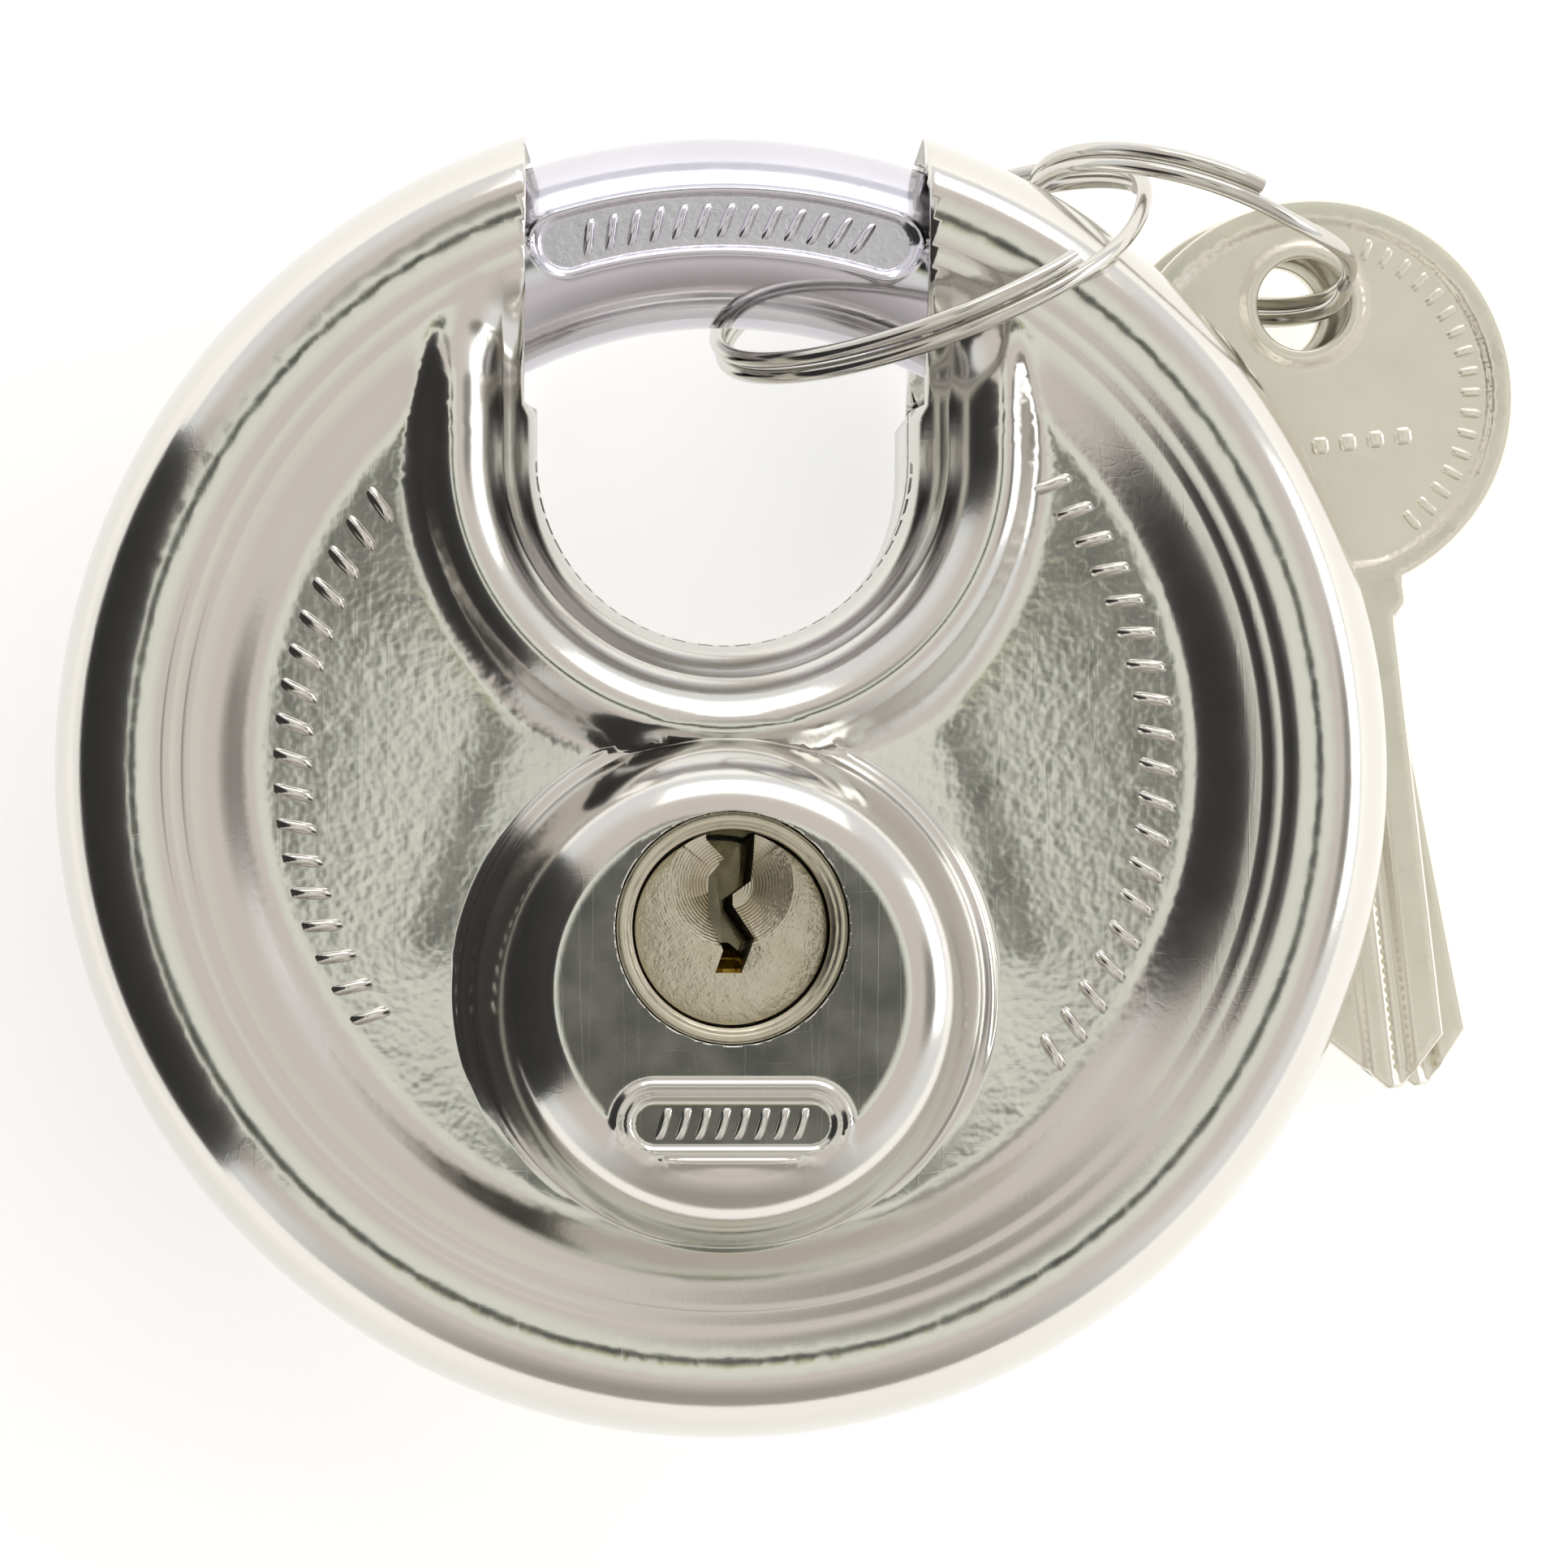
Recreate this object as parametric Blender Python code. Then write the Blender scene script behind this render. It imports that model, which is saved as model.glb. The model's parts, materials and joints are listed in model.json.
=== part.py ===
"""Disc padlock lying on its back, with two keys on a pair of split rings.

Millimetres throughout, turned to metres as each mesh is made. +Z is the front of the
padlock, +Y runs from the middle of the disc to the shackle, and the origin is on the
disc's axis in the plane that it rests on.
"""

import math

import bmesh
import bpy
from mathutils import Matrix, Vector

MM = 0.001

# Body
BODY_R = 35.0
MID_Z = 14.0
SHEET = 1.3
SEAM_GAP = 0.3
RIM_CREST_R = BODY_R - 4.0
RIM_INNER_R = BODY_R - 6.9
PANEL_R = BODY_R - 13.0
PANEL_H = 4.6
PLATEAU_R = BODY_R - 12.4
BOSS_Y = -11.7
BOSS_H = 13.2
BOSS_TOP_Z = MID_Z + BOSS_H
THROAT_R = 9.8
THROAT_Y = 16.3
THROAT_TOP_Y = 19.1
MOUTH_HALF = 10.5
COLLAR_OUT_R = 16.6

# Fits
FIT = 0.3
RUN = 0.4
BAR_CLEAR = 0.35
RIM_OVER_BAR = 2.5

# Shackle
BAR_R = 5.0
BAR_CENTRE_R = BODY_R - SHEET - BAR_CLEAR - BAR_R
RIM_HALF = BAR_R + RIM_OVER_BAR
SHACKLE_FREE_DEG = 122.0
SHACKLE_TAIL_DEG = -75.0
SLOT_HALF = 1.8
SLOT_R = BAR_CENTRE_R + 0.55

# Cylinder
PLUG_Y = -8.5
PLUG_R = 5.0
BOSS_R = PLUG_R + 9.04
BOSS_TOP_R = PLUG_R + 4.2
PLUG_FACE_Z = BOSS_TOP_Z - 2.6
PLUG_TAIL_Z = 7.0
NECK_WALL = 0.4
HOUSING_R = PLUG_R + 2.6
HOUSING_Z = (PLUG_TAIL_Z + RUN, BOSS_TOP_Z - 4.3)
CHIMNEY_HALF = 2.7
CHIMNEY_L = PLUG_R + 6.5
KEYWAY_HALF = 1.3
KEYWAY_LOW = -2.3
GUARD_R = HOUSING_R - 0.2
GUARD_Z = (HOUSING_Z[1] + FIT, HOUSING_Z[1] + 1.4)

# Pin stacks
PIN_COUNT = 5
PIN_TOP_Z = HOUSING_Z[1] - 2.0
PIN_PITCH = 2.95
PIN_R = 1.0
PIN_BORE_R = PIN_R + FIT
KEY_PIN_TIPS = (-1.5, -0.9, -1.9, -0.5, -1.2)
DRIVER_L = (PLUG_R + 0.5, PLUG_R + 3.0)
SPRING_L = (DRIVER_L[1] + RUN, CHIMNEY_L - 0.6)
SPRING_WIRE_R = 0.16
SPRING_TURNS = 3
COVER_L = (CHIMNEY_L + FIT, CHIMNEY_L + FIT + 0.5)

# Drive arm
ARM_REST_DEG = 40.0
PLUG_TRAVEL_DEG = 80.0
FINGER_L = SLOT_R - 10.9
FINGER_R = 1.3
FINGER_NECK_HALF = 0.8
ARM_HUB_R = 4.2
ARM_Z = (4.6, 6.7)
FINGER_Z = (MID_Z - 3.8, MID_Z - 0.9)
RISER_L = (FINGER_L - 5.2, FINGER_L - 3.4)
RISER_HALF = 1.4
ARM_SIDE_DEG = 18.0
TAIL_HALF = 1.6
TAIL_END_R = 1.5
TAIL_GROOVE_R = 1.0
TAIL_END_Z = 2.1

# Keys, measured from the hole along the blade
KEY_THICK = 1.9
KEY_HOLE_R = 2.5
KEY_COLLAR = 0.6
KEY_BOW_R = 10.7
KEY_BOW_L = 5.1
KEY_RIM = 1.2
KEY_FIELD_DEPTH = 0.25
KEY_SHOULDER_L = 16.6
KEY_SHOULDER = 0.7
KEY_TIP_L = 42.6
KEY_BACK_X = 2.9
KEY_CUT_X = -3.7
KEY_CUTS = (1.9, 1.2, 2.2, 0.9, 1.5)
KEY_GROOVE_HALF = 0.45
KEY_GROOVE_DEPTH = 0.5

# Split rings
WIRE_R = 0.42
WIRE_PITCH = 0.94

# Where the loose pieces lie: hole or centre from the ring's seat on the bar, then the angles
SEAT_DEG = 67.3
SEAT = Vector((
    BAR_CENTRE_R * math.cos(math.radians(SEAT_DEG)),
    BAR_CENTRE_R * math.sin(math.radians(SEAT_DEG)),
    MID_Z,
))
LARGE_RING = dict(centre=(0.2, 0.456, -0.7), chord=22.8, lean=18.9, radius=12.0, start=60.0)
SMALL_RING = dict(centre=(14.28, 2.716, -4.6), chord=-18.8, lean=-14.9, radius=8.72, start=75.0)
KEY_1 = dict(hole=(20.72, -0.574, -8.17), plan=6.8, pitch=2.66, roll=2.2)
KEY_2 = dict(hole=(19.29, -0.914, -10.54), plan=11.1, pitch=2.48, roll=2.4)

DISC_SIDES = 52
ROUND_SIDES = 32


def clear_scene():
    for obj in list(bpy.data.objects):
        bpy.data.objects.remove(obj, do_unlink=True)


def material(name, colour, roughness, metallic):
    made = bpy.data.materials.new(name)
    made.use_nodes = True
    shader = made.node_tree.nodes["Principled BSDF"]
    shader.inputs["Base Color"].default_value = (*colour, 1.0)
    shader.inputs["Roughness"].default_value = roughness
    shader.inputs["Metallic"].default_value = metallic
    return made


def new_object(name, bm, slot=None, origin=(0.0, 0.0, 0.0)):
    """An object whose own origin stands at origin, from a bmesh in millimetres."""
    bmesh.ops.recalc_face_normals(bm, faces=bm.faces)
    bmesh.ops.translate(bm, vec=-Vector(origin), verts=bm.verts)
    bmesh.ops.scale(bm, vec=(MM, MM, MM), verts=bm.verts)
    mesh = bpy.data.meshes.new(name)
    bm.to_mesh(mesh)
    bm.free()
    obj = bpy.data.objects.new(name, mesh)
    obj.location = Vector(origin) * MM
    bpy.context.scene.collection.objects.link(obj)
    if slot:
        mesh.materials.append(slot)
    return obj


def combine(obj, cutter, operation="DIFFERENCE"):
    """Takes cutter from obj, or joins or intersects them, and removes cutter."""
    modifier = obj.modifiers.new("Cut", "BOOLEAN")
    modifier.operation = operation
    modifier.solver = "EXACT"
    modifier.object = cutter
    bpy.context.view_layer.update()
    graph = bpy.context.evaluated_depsgraph_get()
    result = bpy.data.meshes.new_from_object(obj.evaluated_get(graph))
    obj.modifiers.remove(modifier)
    obj.data = result
    bpy.data.objects.remove(cutter, do_unlink=True)
    return obj


def smooth(obj, degrees=35.0):
    for face in obj.data.polygons:
        face.use_smooth = True
    obj.data.set_sharp_from_angle(angle=math.radians(degrees))


def finish(obj, slot):
    obj.data.materials.clear()
    obj.data.materials.append(slot)
    smooth(obj)
    return obj


def lathe_mesh(profile, centre=(0.0, 0.0), sides=ROUND_SIDES):
    """A closed solid of revolution about a vertical axis from (radius, height) points."""
    bm = bmesh.new()
    rings = []
    for radius, height in profile:
        if radius < 1e-6:
            rings.append([bm.verts.new((centre[0], centre[1], height))])
            continue
        turn = [2 * math.pi * i / sides for i in range(sides)]
        rings.append([
            bm.verts.new((centre[0] + radius * math.cos(a), centre[1] + radius * math.sin(a), height))
            for a in turn
        ])
    pairs = list(zip(rings, rings[1:]))
    if len(rings[0]) > 1:
        pairs.append((rings[-1], rings[0]))
    for first, second in pairs:
        for i in range(sides):
            j = (i + 1) % sides
            corners = [first[i % len(first)], first[j % len(first)]]
            corners += [second[j % len(second)], second[i % len(second)]]
            unique = list(dict.fromkeys(corners))
            if len(unique) > 2:
                bm.faces.new(unique)
    return bm


def loft_mesh(levels):
    """A solid through outlines of equal count, each (points, height)."""
    bm = bmesh.new()
    rings = [[bm.verts.new((x, y, height)) for x, y in points] for points, height in levels]
    for first, second in zip(rings, rings[1:]):
        for i in range(len(first)):
            j = (i + 1) % len(first)
            bm.faces.new((first[i], first[j], second[j], second[i]))
    bm.faces.new(rings[0])
    bm.faces.new(rings[-1])
    return bm


def prism_mesh(points, low, high):
    return loft_mesh([(points, low), (points, high)])


def box_mesh(low, high):
    corners = [(low[0], low[1]), (high[0], low[1]), (high[0], high[1]), (low[0], high[1])]
    return prism_mesh(corners, low[2], high[2])


def rod_mesh(radius, start, end, sides=12):
    """A round rod between two points."""
    start, end = Vector(start), Vector(end)
    length = (end - start).length
    bm = lathe_mesh([(0, 0), (radius, 0), (radius, length), (0, length)], sides=sides)
    turn = (end - start).to_track_quat("Z", "Y").to_matrix().to_4x4()
    bmesh.ops.transform(bm, matrix=Matrix.Translation(start) @ turn, verts=bm.verts)
    return bm


def sweep_mesh(path, frames, radius, sides):
    """A round section carried along a path, each frame giving its two side directions."""
    bm = bmesh.new()
    rings = []
    for point, (across, up) in zip(path, frames):
        ring = []
        for i in range(sides):
            a = 2 * math.pi * (i + 0.5) / sides
            ring.append(bm.verts.new(point + across * radius * math.cos(a) + up * radius * math.sin(a)))
        rings.append(ring)
    for first, second in zip(rings, rings[1:]):
        for i in range(sides):
            j = (i + 1) % sides
            bm.faces.new((first[i], first[j], second[j], second[i]))
    bm.faces.new(rings[0])
    bm.faces.new(rings[-1])
    return bm


def offset_profile(profile, depth):
    """The profile moved inwards, square to its own line; points on the axis stay on it."""
    moved = []
    last = len(profile) - 1
    for i, (radius, height) in enumerate(profile):
        before = Vector(profile[max(i - 1, 0)])
        after = Vector(profile[min(i + 1, last)])
        here = Vector((radius, height))
        normals = []
        for first, second in ((before, here), (here, after)):
            run = second - first
            if run.length > 1e-6:
                normals.append(Vector((run.y, -run.x)).normalized())
        mitre = sum(normals, Vector((0, 0))).normalized()
        step = depth / max(mitre.dot(normals[0]), 0.5)
        point = here + mitre * step
        moved.append((0.0 if radius < 1e-6 else point.x, point.y))
    return moved


def disc_profile():
    """Half section of the disc, from the front axis point out round the rim to the back."""
    rim = [
        (RIM_INNER_R, RIM_HALF - 0.45),
        (RIM_INNER_R + 1.1, RIM_HALF - 0.3),
        (RIM_CREST_R, RIM_HALF),
        (BODY_R - 2.4, RIM_HALF - 0.45),
        (BODY_R - 1.2, RIM_HALF - 1.9),
        (BODY_R - 0.4, RIM_HALF - 4.1),
    ]
    front = [(0.0, PANEL_H), (PANEL_R, PANEL_H), (PANEL_R + 1.8, PANEL_H + 0.5)]
    front += [(PANEL_R + 3.2, PANEL_H + 1.5), (RIM_INNER_R - 1.5, RIM_HALF - 0.8)] + rim
    back = [(r, -h) for r, h in reversed(rim)]
    back += [(PLATEAU_R + 3.8, -RIM_HALF - 1.1), (PLATEAU_R + 1.8, 1.6 - MID_Z)]
    back += [(PLATEAU_R + 0.8, 0.4 - MID_Z), (PLATEAU_R, -MID_Z), (0.0, -MID_Z)]
    return [(r, MID_Z + h) for r, h in front + [(BODY_R, 0.6), (BODY_R, -0.6)] + back]


def boss_profile():
    top = BOSS_TOP_Z
    return [
        (0.0, top),
        (BOSS_TOP_R, top),
        (BOSS_TOP_R + 1.6, top - 0.6),
        (BOSS_R - 1.94, top - 2.2),
        (BOSS_R - 1.14, top - 4.6),
        (BOSS_R - 0.84, MID_Z + PANEL_H + 1.3),
        (BOSS_R, MID_Z + PANEL_H + 1.0),
        (BOSS_R, MID_Z + 0.8),
        (0.0, MID_Z + 0.8),
    ]


def collar_profile():
    return [
        (8.3, MID_Z + 4.2),
        (THROAT_R - 0.4, MID_Z + 5.0),
        (10.5, MID_Z + 6.3),
        (11.7, MID_Z + 7.1),
        (13.4, MID_Z + 7.4),
        (14.7, MID_Z + 7.0),
        (16.1, MID_Z + 5.2),
        (COLLAR_OUT_R, MID_Z + 3.9),
        (COLLAR_OUT_R, MID_Z + 1.1),
        (8.3, MID_Z + 1.1),
    ]


def throat_outline(radius, top, sides=28):
    """A U about the throat's centre, straight from there up to top."""
    points = [(radius, top)]
    for i in range(sides + 1):
        a = -math.pi * i / sides
        points.append((radius * math.cos(a), THROAT_Y + radius * math.sin(a)))
    points.append((-radius, top))
    return points


def throat_cutter(grow, top):
    """The throat, opening out where it meets the back."""
    levels = [(-2.0, 2.4), (0.0, 1.9), (1.0, 0.6), (2.6, 0.0), (40.0, 0.0)]
    return loft_mesh([(throat_outline(THROAT_R + grow + flare, top), z) for z, flare in levels])


def collar_mesh(profile, top):
    """The ridge round the throat: its section swept round the U."""
    stations = []
    bm = bmesh.new()
    sides = 24
    for i in range(-1, sides + 2):
        a = -math.pi * min(max(i, 0), sides) / sides
        across = Vector((math.cos(a), math.sin(a), 0.0))
        rise = top - THROAT_Y if i in (-1, sides + 1) else 0.0
        base = Vector((0.0, THROAT_Y + rise, 0.0))
        stations.append([bm.verts.new(base + across * r + Vector((0.0, 0.0, z))) for r, z in profile])
    for first, second in zip(stations, stations[1:]):
        for i in range(len(profile)):
            j = (i + 1) % len(profile)
            bm.faces.new((first[i], first[j], second[j], second[i]))
    bm.faces.new(stations[0])
    bm.faces.new(stations[-1])
    return bm


def collar_path_top(depth):
    """How far up the horns the collar runs before the rim swallows it."""
    return 24.0 - depth


def body_form(depth, throat_top):
    """The padlock's outside, or its inside when depth is the sheet's thickness."""
    form = new_object("form", lathe_mesh(offset_profile(disc_profile(), depth), sides=DISC_SIDES))
    boss = offset_profile(boss_profile(), depth)
    boss[-2:] = [(boss[-2][0], MID_Z + 0.8), (0.0, MID_Z + 0.8)]
    combine(form, new_object("boss", lathe_mesh(boss, (0.0, BOSS_Y), 40)), "UNION")
    collar = offset_profile(collar_profile(), depth)
    collar[-2:] = [(collar[-2][0], MID_Z + 1.1), (collar[-1][0], MID_Z + 1.1)]
    combine(form, new_object("collar", collar_mesh(collar, collar_path_top(depth))), "UNION")
    combine(form, new_object("throat", throat_cutter(depth, throat_top)))
    return form


def make_shells(slot):
    """One pressed skin with its throat wall, parted on the middle plane."""
    skin = body_form(0.0, THROAT_TOP_Y + 0.5)
    combine(skin, body_form(SHEET, THROAT_TOP_Y + 0.2))
    mouth = box_mesh((-MOUTH_HALF, THROAT_TOP_Y, -5.0), (MOUTH_HALF, 45.0, 40.0))
    combine(skin, new_object("mouth", mouth))
    hole = [(0, 20), (PLUG_R + FIT + NECK_WALL + FIT, 20), (PLUG_R + FIT + NECK_WALL + FIT, 32), (0, 32)]
    combine(skin, new_object("hole", lathe_mesh(hole, (0.0, PLUG_Y))))
    for name, low, high in (
        ("front_shell", MID_Z + SEAM_GAP / 2, 60.0),
        ("rear_shell", -30.0, MID_Z - SEAM_GAP / 2),
    ):
        half = skin.copy()
        half.data = skin.data.copy()
        half.name = name
        bpy.context.scene.collection.objects.link(half)
        combine(half, new_object("half", box_mesh((-60, -60, low), (60, 60, high))), "INTERSECT")
        finish(half, slot)
    bpy.data.objects.remove(skin, do_unlink=True)


def arc_path(radius, start, end, step=5.0):
    count = max(2, round(abs(end - start) / step)) + 1
    angles = [math.radians(start + (end - start) * i / (count - 1)) for i in range(count)]
    path = [Vector((radius * math.cos(a), radius * math.sin(a), MID_Z)) for a in angles]
    up = Vector((0.0, 0.0, 1.0))
    return path, [(Vector((math.cos(a), math.sin(a), 0.0)), up) for a in angles]


def turned(points, degrees, centre=(0.0, 0.0)):
    a = math.radians(degrees)
    return [
        (
            centre[0] + x * math.cos(a) - y * math.sin(a),
            centre[1] + x * math.sin(a) + y * math.cos(a),
        )
        for x, y in points
    ]


def slot_polar_deg():
    """Where the finger stands, seen from the disc's axis, with the padlock locked."""
    a = math.radians(ARM_REST_DEG)
    return math.degrees(math.atan2(PLUG_Y - FINGER_L * math.cos(a), FINGER_L * math.sin(a)))


def make_shackle(slot):
    path, frames = arc_path(BAR_CENTRE_R, SHACKLE_FREE_DEG, SHACKLE_TAIL_DEG)
    bar = new_object("shackle", sweep_mesh(path, frames, BAR_R, 14))
    inside = BAR_CENTRE_R - BAR_R - 3.0
    notch = [(inside, -SLOT_HALF), (SLOT_R, -SLOT_HALF), (SLOT_R, SLOT_HALF), (inside, SLOT_HALF)]
    notch = turned(notch, slot_polar_deg())
    combine(bar, new_object("notch", prism_mesh(notch, 4.0, FINGER_Z[1] + RUN)))
    badge = []
    for radius, order in ((BAR_CENTRE_R - 1.55, 1), (BAR_CENTRE_R + 1.95, -1)):
        badge += [
            (radius * math.cos(math.radians(a)), radius * math.sin(math.radians(a)))
            for a in range(70, 110, 3)[::order]
        ]
    top = MID_Z + BAR_R - 0.35
    combine(bar, new_object("badge", prism_mesh(badge, top, top + 5.0)))
    return finish(bar, slot)


def make_housing(slot):
    low, high = HOUSING_Z
    neck_r = PLUG_R + FIT + NECK_WALL
    profile = [(0, low), (HOUSING_R, low), (HOUSING_R, high), (neck_r, high)]
    profile += [(neck_r, BOSS_TOP_Z - 0.8), (0, BOSS_TOP_Z - 0.8)]
    body = new_object("cylinder_housing", lathe_mesh(profile, (0.0, PLUG_Y)))
    chimney = box_mesh((-CHIMNEY_HALF, PLUG_Y - CHIMNEY_L, low), (CHIMNEY_HALF, PLUG_Y - PLUG_R - 0.6, high))
    combine(body, new_object("chimney", chimney), "UNION")
    bore = [(0, 0), (PLUG_R + FIT, 0), (PLUG_R + FIT, 40), (0, 40)]
    combine(body, new_object("bore", lathe_mesh(bore, (0.0, PLUG_Y))))
    for z in pin_heights():
        hole = rod_mesh(PIN_BORE_R, (0, PLUG_Y - PLUG_R + 1.0, z), (0, PLUG_Y - CHIMNEY_L - 1.0, z))
        combine(body, new_object("pin_hole", hole))
    return finish(body, slot)


def pin_heights():
    return [PIN_TOP_Z - PIN_PITCH * i for i in range(PIN_COUNT)]


def make_pins(brass, steel):
    origin = (0.0, PLUG_Y, 0.0)
    for i, z in enumerate(pin_heights()):
        tip = PLUG_Y + KEY_PIN_TIPS[i]
        foot = PLUG_Y - PLUG_R + 0.2
        profile = [(0, 0), (PIN_R, 0), (PIN_R, tip - foot - 0.5), (0.4, tip - foot), (0, tip - foot)]
        pin = lathe_mesh(profile, sides=10)
        stand = Matrix.Translation((0, foot, z)) @ Matrix.Rotation(-math.pi / 2, 4, "X")
        bmesh.ops.transform(pin, matrix=stand, verts=pin.verts)
        finish(new_object(f"key_pin_{i + 1}", pin, origin=origin), brass)
        driver = rod_mesh(PIN_R, (0, PLUG_Y - DRIVER_L[0], z), (0, PLUG_Y - DRIVER_L[1], z), 10)
        finish(new_object(f"driver_pin_{i + 1}", driver), steel)
        finish(new_object(f"pin_spring_{i + 1}", spring_mesh(z)), steel)


def spring_mesh(z):
    count = SPRING_TURNS * 8
    radius = PIN_R - SPRING_WIRE_R
    first, last = (PLUG_Y - length for length in SPRING_L)
    path, frames = [], []
    for i in range(count + 1):
        a = 2 * math.pi * i / 8
        across = Vector((math.cos(a), 0.0, math.sin(a)))
        y = first + (last - first) * i / count
        path.append(Vector((0.0, y, z)) + across * radius)
        frames.append((across, Vector((0.0, 1.0, 0.0))))
    return sweep_mesh(path, frames, SPRING_WIRE_R, 4)


def make_spring_cover(slot):
    low, high = HOUSING_Z
    strip = box_mesh(
        (-CHIMNEY_HALF + 0.4, PLUG_Y - COVER_L[1], low + 0.3),
        (CHIMNEY_HALF - 0.4, PLUG_Y - COVER_L[0], high - 0.3),
    )
    return finish(new_object("spring_cover", strip), slot)


def make_plug(slot):
    face, low = PLUG_FACE_Z, PLUG_TAIL_Z
    profile = [(0, face), (PLUG_R - 0.2, face), (PLUG_R, face - 0.2), (PLUG_R, low), (0, low)]
    plug = new_object("plug", lathe_mesh(profile, (0.0, PLUG_Y), 28), origin=(0.0, PLUG_Y, 0.0))
    square = box_mesh(
        (-TAIL_HALF, PLUG_Y - TAIL_HALF, ARM_Z[0] - 0.1), (TAIL_HALF, PLUG_Y + TAIL_HALF, low + 0.5)
    )
    combine(plug, new_object("square", square), "UNION")
    end = [(0, low), (TAIL_END_R, low), (TAIL_END_R, 3.7), (TAIL_GROOVE_R, 3.7), (TAIL_GROOVE_R, 2.6)]
    end += [(TAIL_END_R, 2.6), (TAIL_END_R, TAIL_END_Z), (0, TAIL_END_Z)]
    combine(plug, new_object("end", lathe_mesh(end, (0.0, PLUG_Y), 16)), "UNION")
    keyway = box_mesh(
        (-KEYWAY_HALF, PLUG_Y + KEYWAY_LOW, low + 0.8), (KEYWAY_HALF, PLUG_Y + 8.0, face + 3.0)
    )
    combine(plug, new_object("keyway", keyway))
    cone = [(0, face - 1.3), (1.5, face - 1.3), (3.4, face + 0.2), (3.4, face + 2), (0, face + 2)]
    combine(plug, new_object("cone", lathe_mesh(cone, (0.0, PLUG_Y + 2.3), 24)))
    for z in pin_heights():
        hole = rod_mesh(PIN_BORE_R, (0, PLUG_Y + KEYWAY_LOW + 0.6, z), (0, PLUG_Y - PLUG_R - 1.0, z))
        combine(plug, new_object("pin_hole", hole))
    return finish(plug, slot)


def make_guard_plate(slot):
    inner = PLUG_R + FIT + NECK_WALL + FIT
    low, high = GUARD_Z
    profile = [(inner, low), (GUARD_R, low), (GUARD_R, high), (inner, high)]
    return finish(new_object("drill_guard_plate", lathe_mesh(profile, (0.0, PLUG_Y))), slot)


def sector(inner, outer, half_deg, steps=16):
    """A ring sector below the plug's axis, or a plain sector when inner is nothing."""
    points = []
    for radius, order in ((outer, 1), (inner, -1)):
        for i in range(steps + 1)[::order]:
            a = math.radians(-90 - half_deg + 2 * half_deg * i / steps)
            points.append((radius * math.cos(a), PLUG_Y + radius * math.sin(a)))
            if radius < 1e-6:
                return points
    return points


def make_core_block(slot):
    """The cast body: outline inside the shackle's track, pockets for what it holds."""
    track = BAR_CENTRE_R - BAR_R - RUN
    back = PLATEAU_R - SHEET - 0.4
    profile = [(0, SHEET + FIT), (back, SHEET + FIT), (back, 7.6), (track, 8.4)]
    profile += [(track, MID_Z + PANEL_H - SHEET - FIT), (0, MID_Z + PANEL_H - SHEET - FIT)]
    block = new_object("core_block", lathe_mesh(profile, sides=48))
    combine(block, new_object("throat", throat_cutter(SHEET + FIT, 45.0)))
    pocket = [(0, -1), (HOUSING_R + FIT, -1), (HOUSING_R + FIT, 40), (0, 40)]
    combine(block, new_object("pocket", lathe_mesh(pocket, (0.0, PLUG_Y))))
    half = CHIMNEY_HALF + FIT
    well = box_mesh((-half, PLUG_Y - COVER_L[1] - FIT, 1.0), (half, PLUG_Y, 40.0))
    combine(block, new_object("well", well))
    swing = ARM_REST_DEG + ARM_SIDE_DEG
    combine(block, new_object("arm_way", prism_mesh(sector(0.0, 40.0, swing), 0.5, 7.1)))
    reach = prism_mesh(sector(RISER_L[0] - 0.5, 40.0, swing), 6.9, FINGER_Z[1] + RUN)
    combine(block, new_object("finger_way", reach))
    return finish(block, slot)


def make_drive_arm(slot):
    """Hub on the plug's square tail, a riser outside the cylinder and a round finger."""
    low, high = ARM_Z
    rise, top = FINGER_Z
    pieces = {
        "hub": lathe_mesh([(0, low), (ARM_HUB_R, low), (ARM_HUB_R, high), (0, high)], sides=24),
        "web": box_mesh((-2.0, -RISER_L[1] + 0.1, low + 0.1), (2.0, -1.0, high - 0.1)),
        "riser": box_mesh((-RISER_HALF, -RISER_L[1], low), (RISER_HALF, -RISER_L[0], top)),
        "neck": box_mesh(
            (-FINGER_NECK_HALF, -FINGER_L, rise + 0.1), (FINGER_NECK_HALF, -RISER_L[0] - 0.4, top - 0.1)
        ),
        "tip": lathe_mesh([(0, rise), (FINGER_R, rise), (FINGER_R, top), (0, top)], (0.0, -FINGER_L), 16),
    }
    turn = Matrix.Rotation(math.radians(ARM_REST_DEG), 4, "Z")
    place = Matrix.Translation((0.0, PLUG_Y, 0.0)) @ turn
    arm = None
    for name, bm in pieces.items():
        bmesh.ops.transform(bm, matrix=place, verts=bm.verts)
        if arm is None:
            arm = new_object("drive_arm", bm, origin=(0.0, PLUG_Y, 0.0))
        else:
            combine(arm, new_object(name, bm), "UNION")
    hole = TAIL_HALF + FIT
    square = box_mesh((-hole, PLUG_Y - hole, 0.0), (hole, PLUG_Y + hole, 20.0))
    combine(arm, new_object("hole", square))
    return finish(arm, slot)


def make_tail_fixings(slot):
    origin = (0.0, PLUG_Y, 0.0)
    washer = [(TAIL_END_R + FIT, 3.85), (3.1, 3.85), (3.1, 4.25), (TAIL_END_R + FIT, 4.25)]
    finish(new_object("tail_washer", lathe_mesh(washer, (0.0, PLUG_Y), 20), origin=origin), slot)
    bore = TAIL_GROOVE_R + FIT
    ring = [(bore, 2.9), (2.6, 2.9), (2.6, 3.4), (bore, 3.4)]
    clip = new_object("retaining_clip", lathe_mesh(ring, (0.0, PLUG_Y), 20), origin=origin)
    combine(clip, new_object("opening", box_mesh((-1.0, PLUG_Y, 2.0), (1.0, PLUG_Y + 4.0, 4.0))))
    finish(clip, slot)


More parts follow.
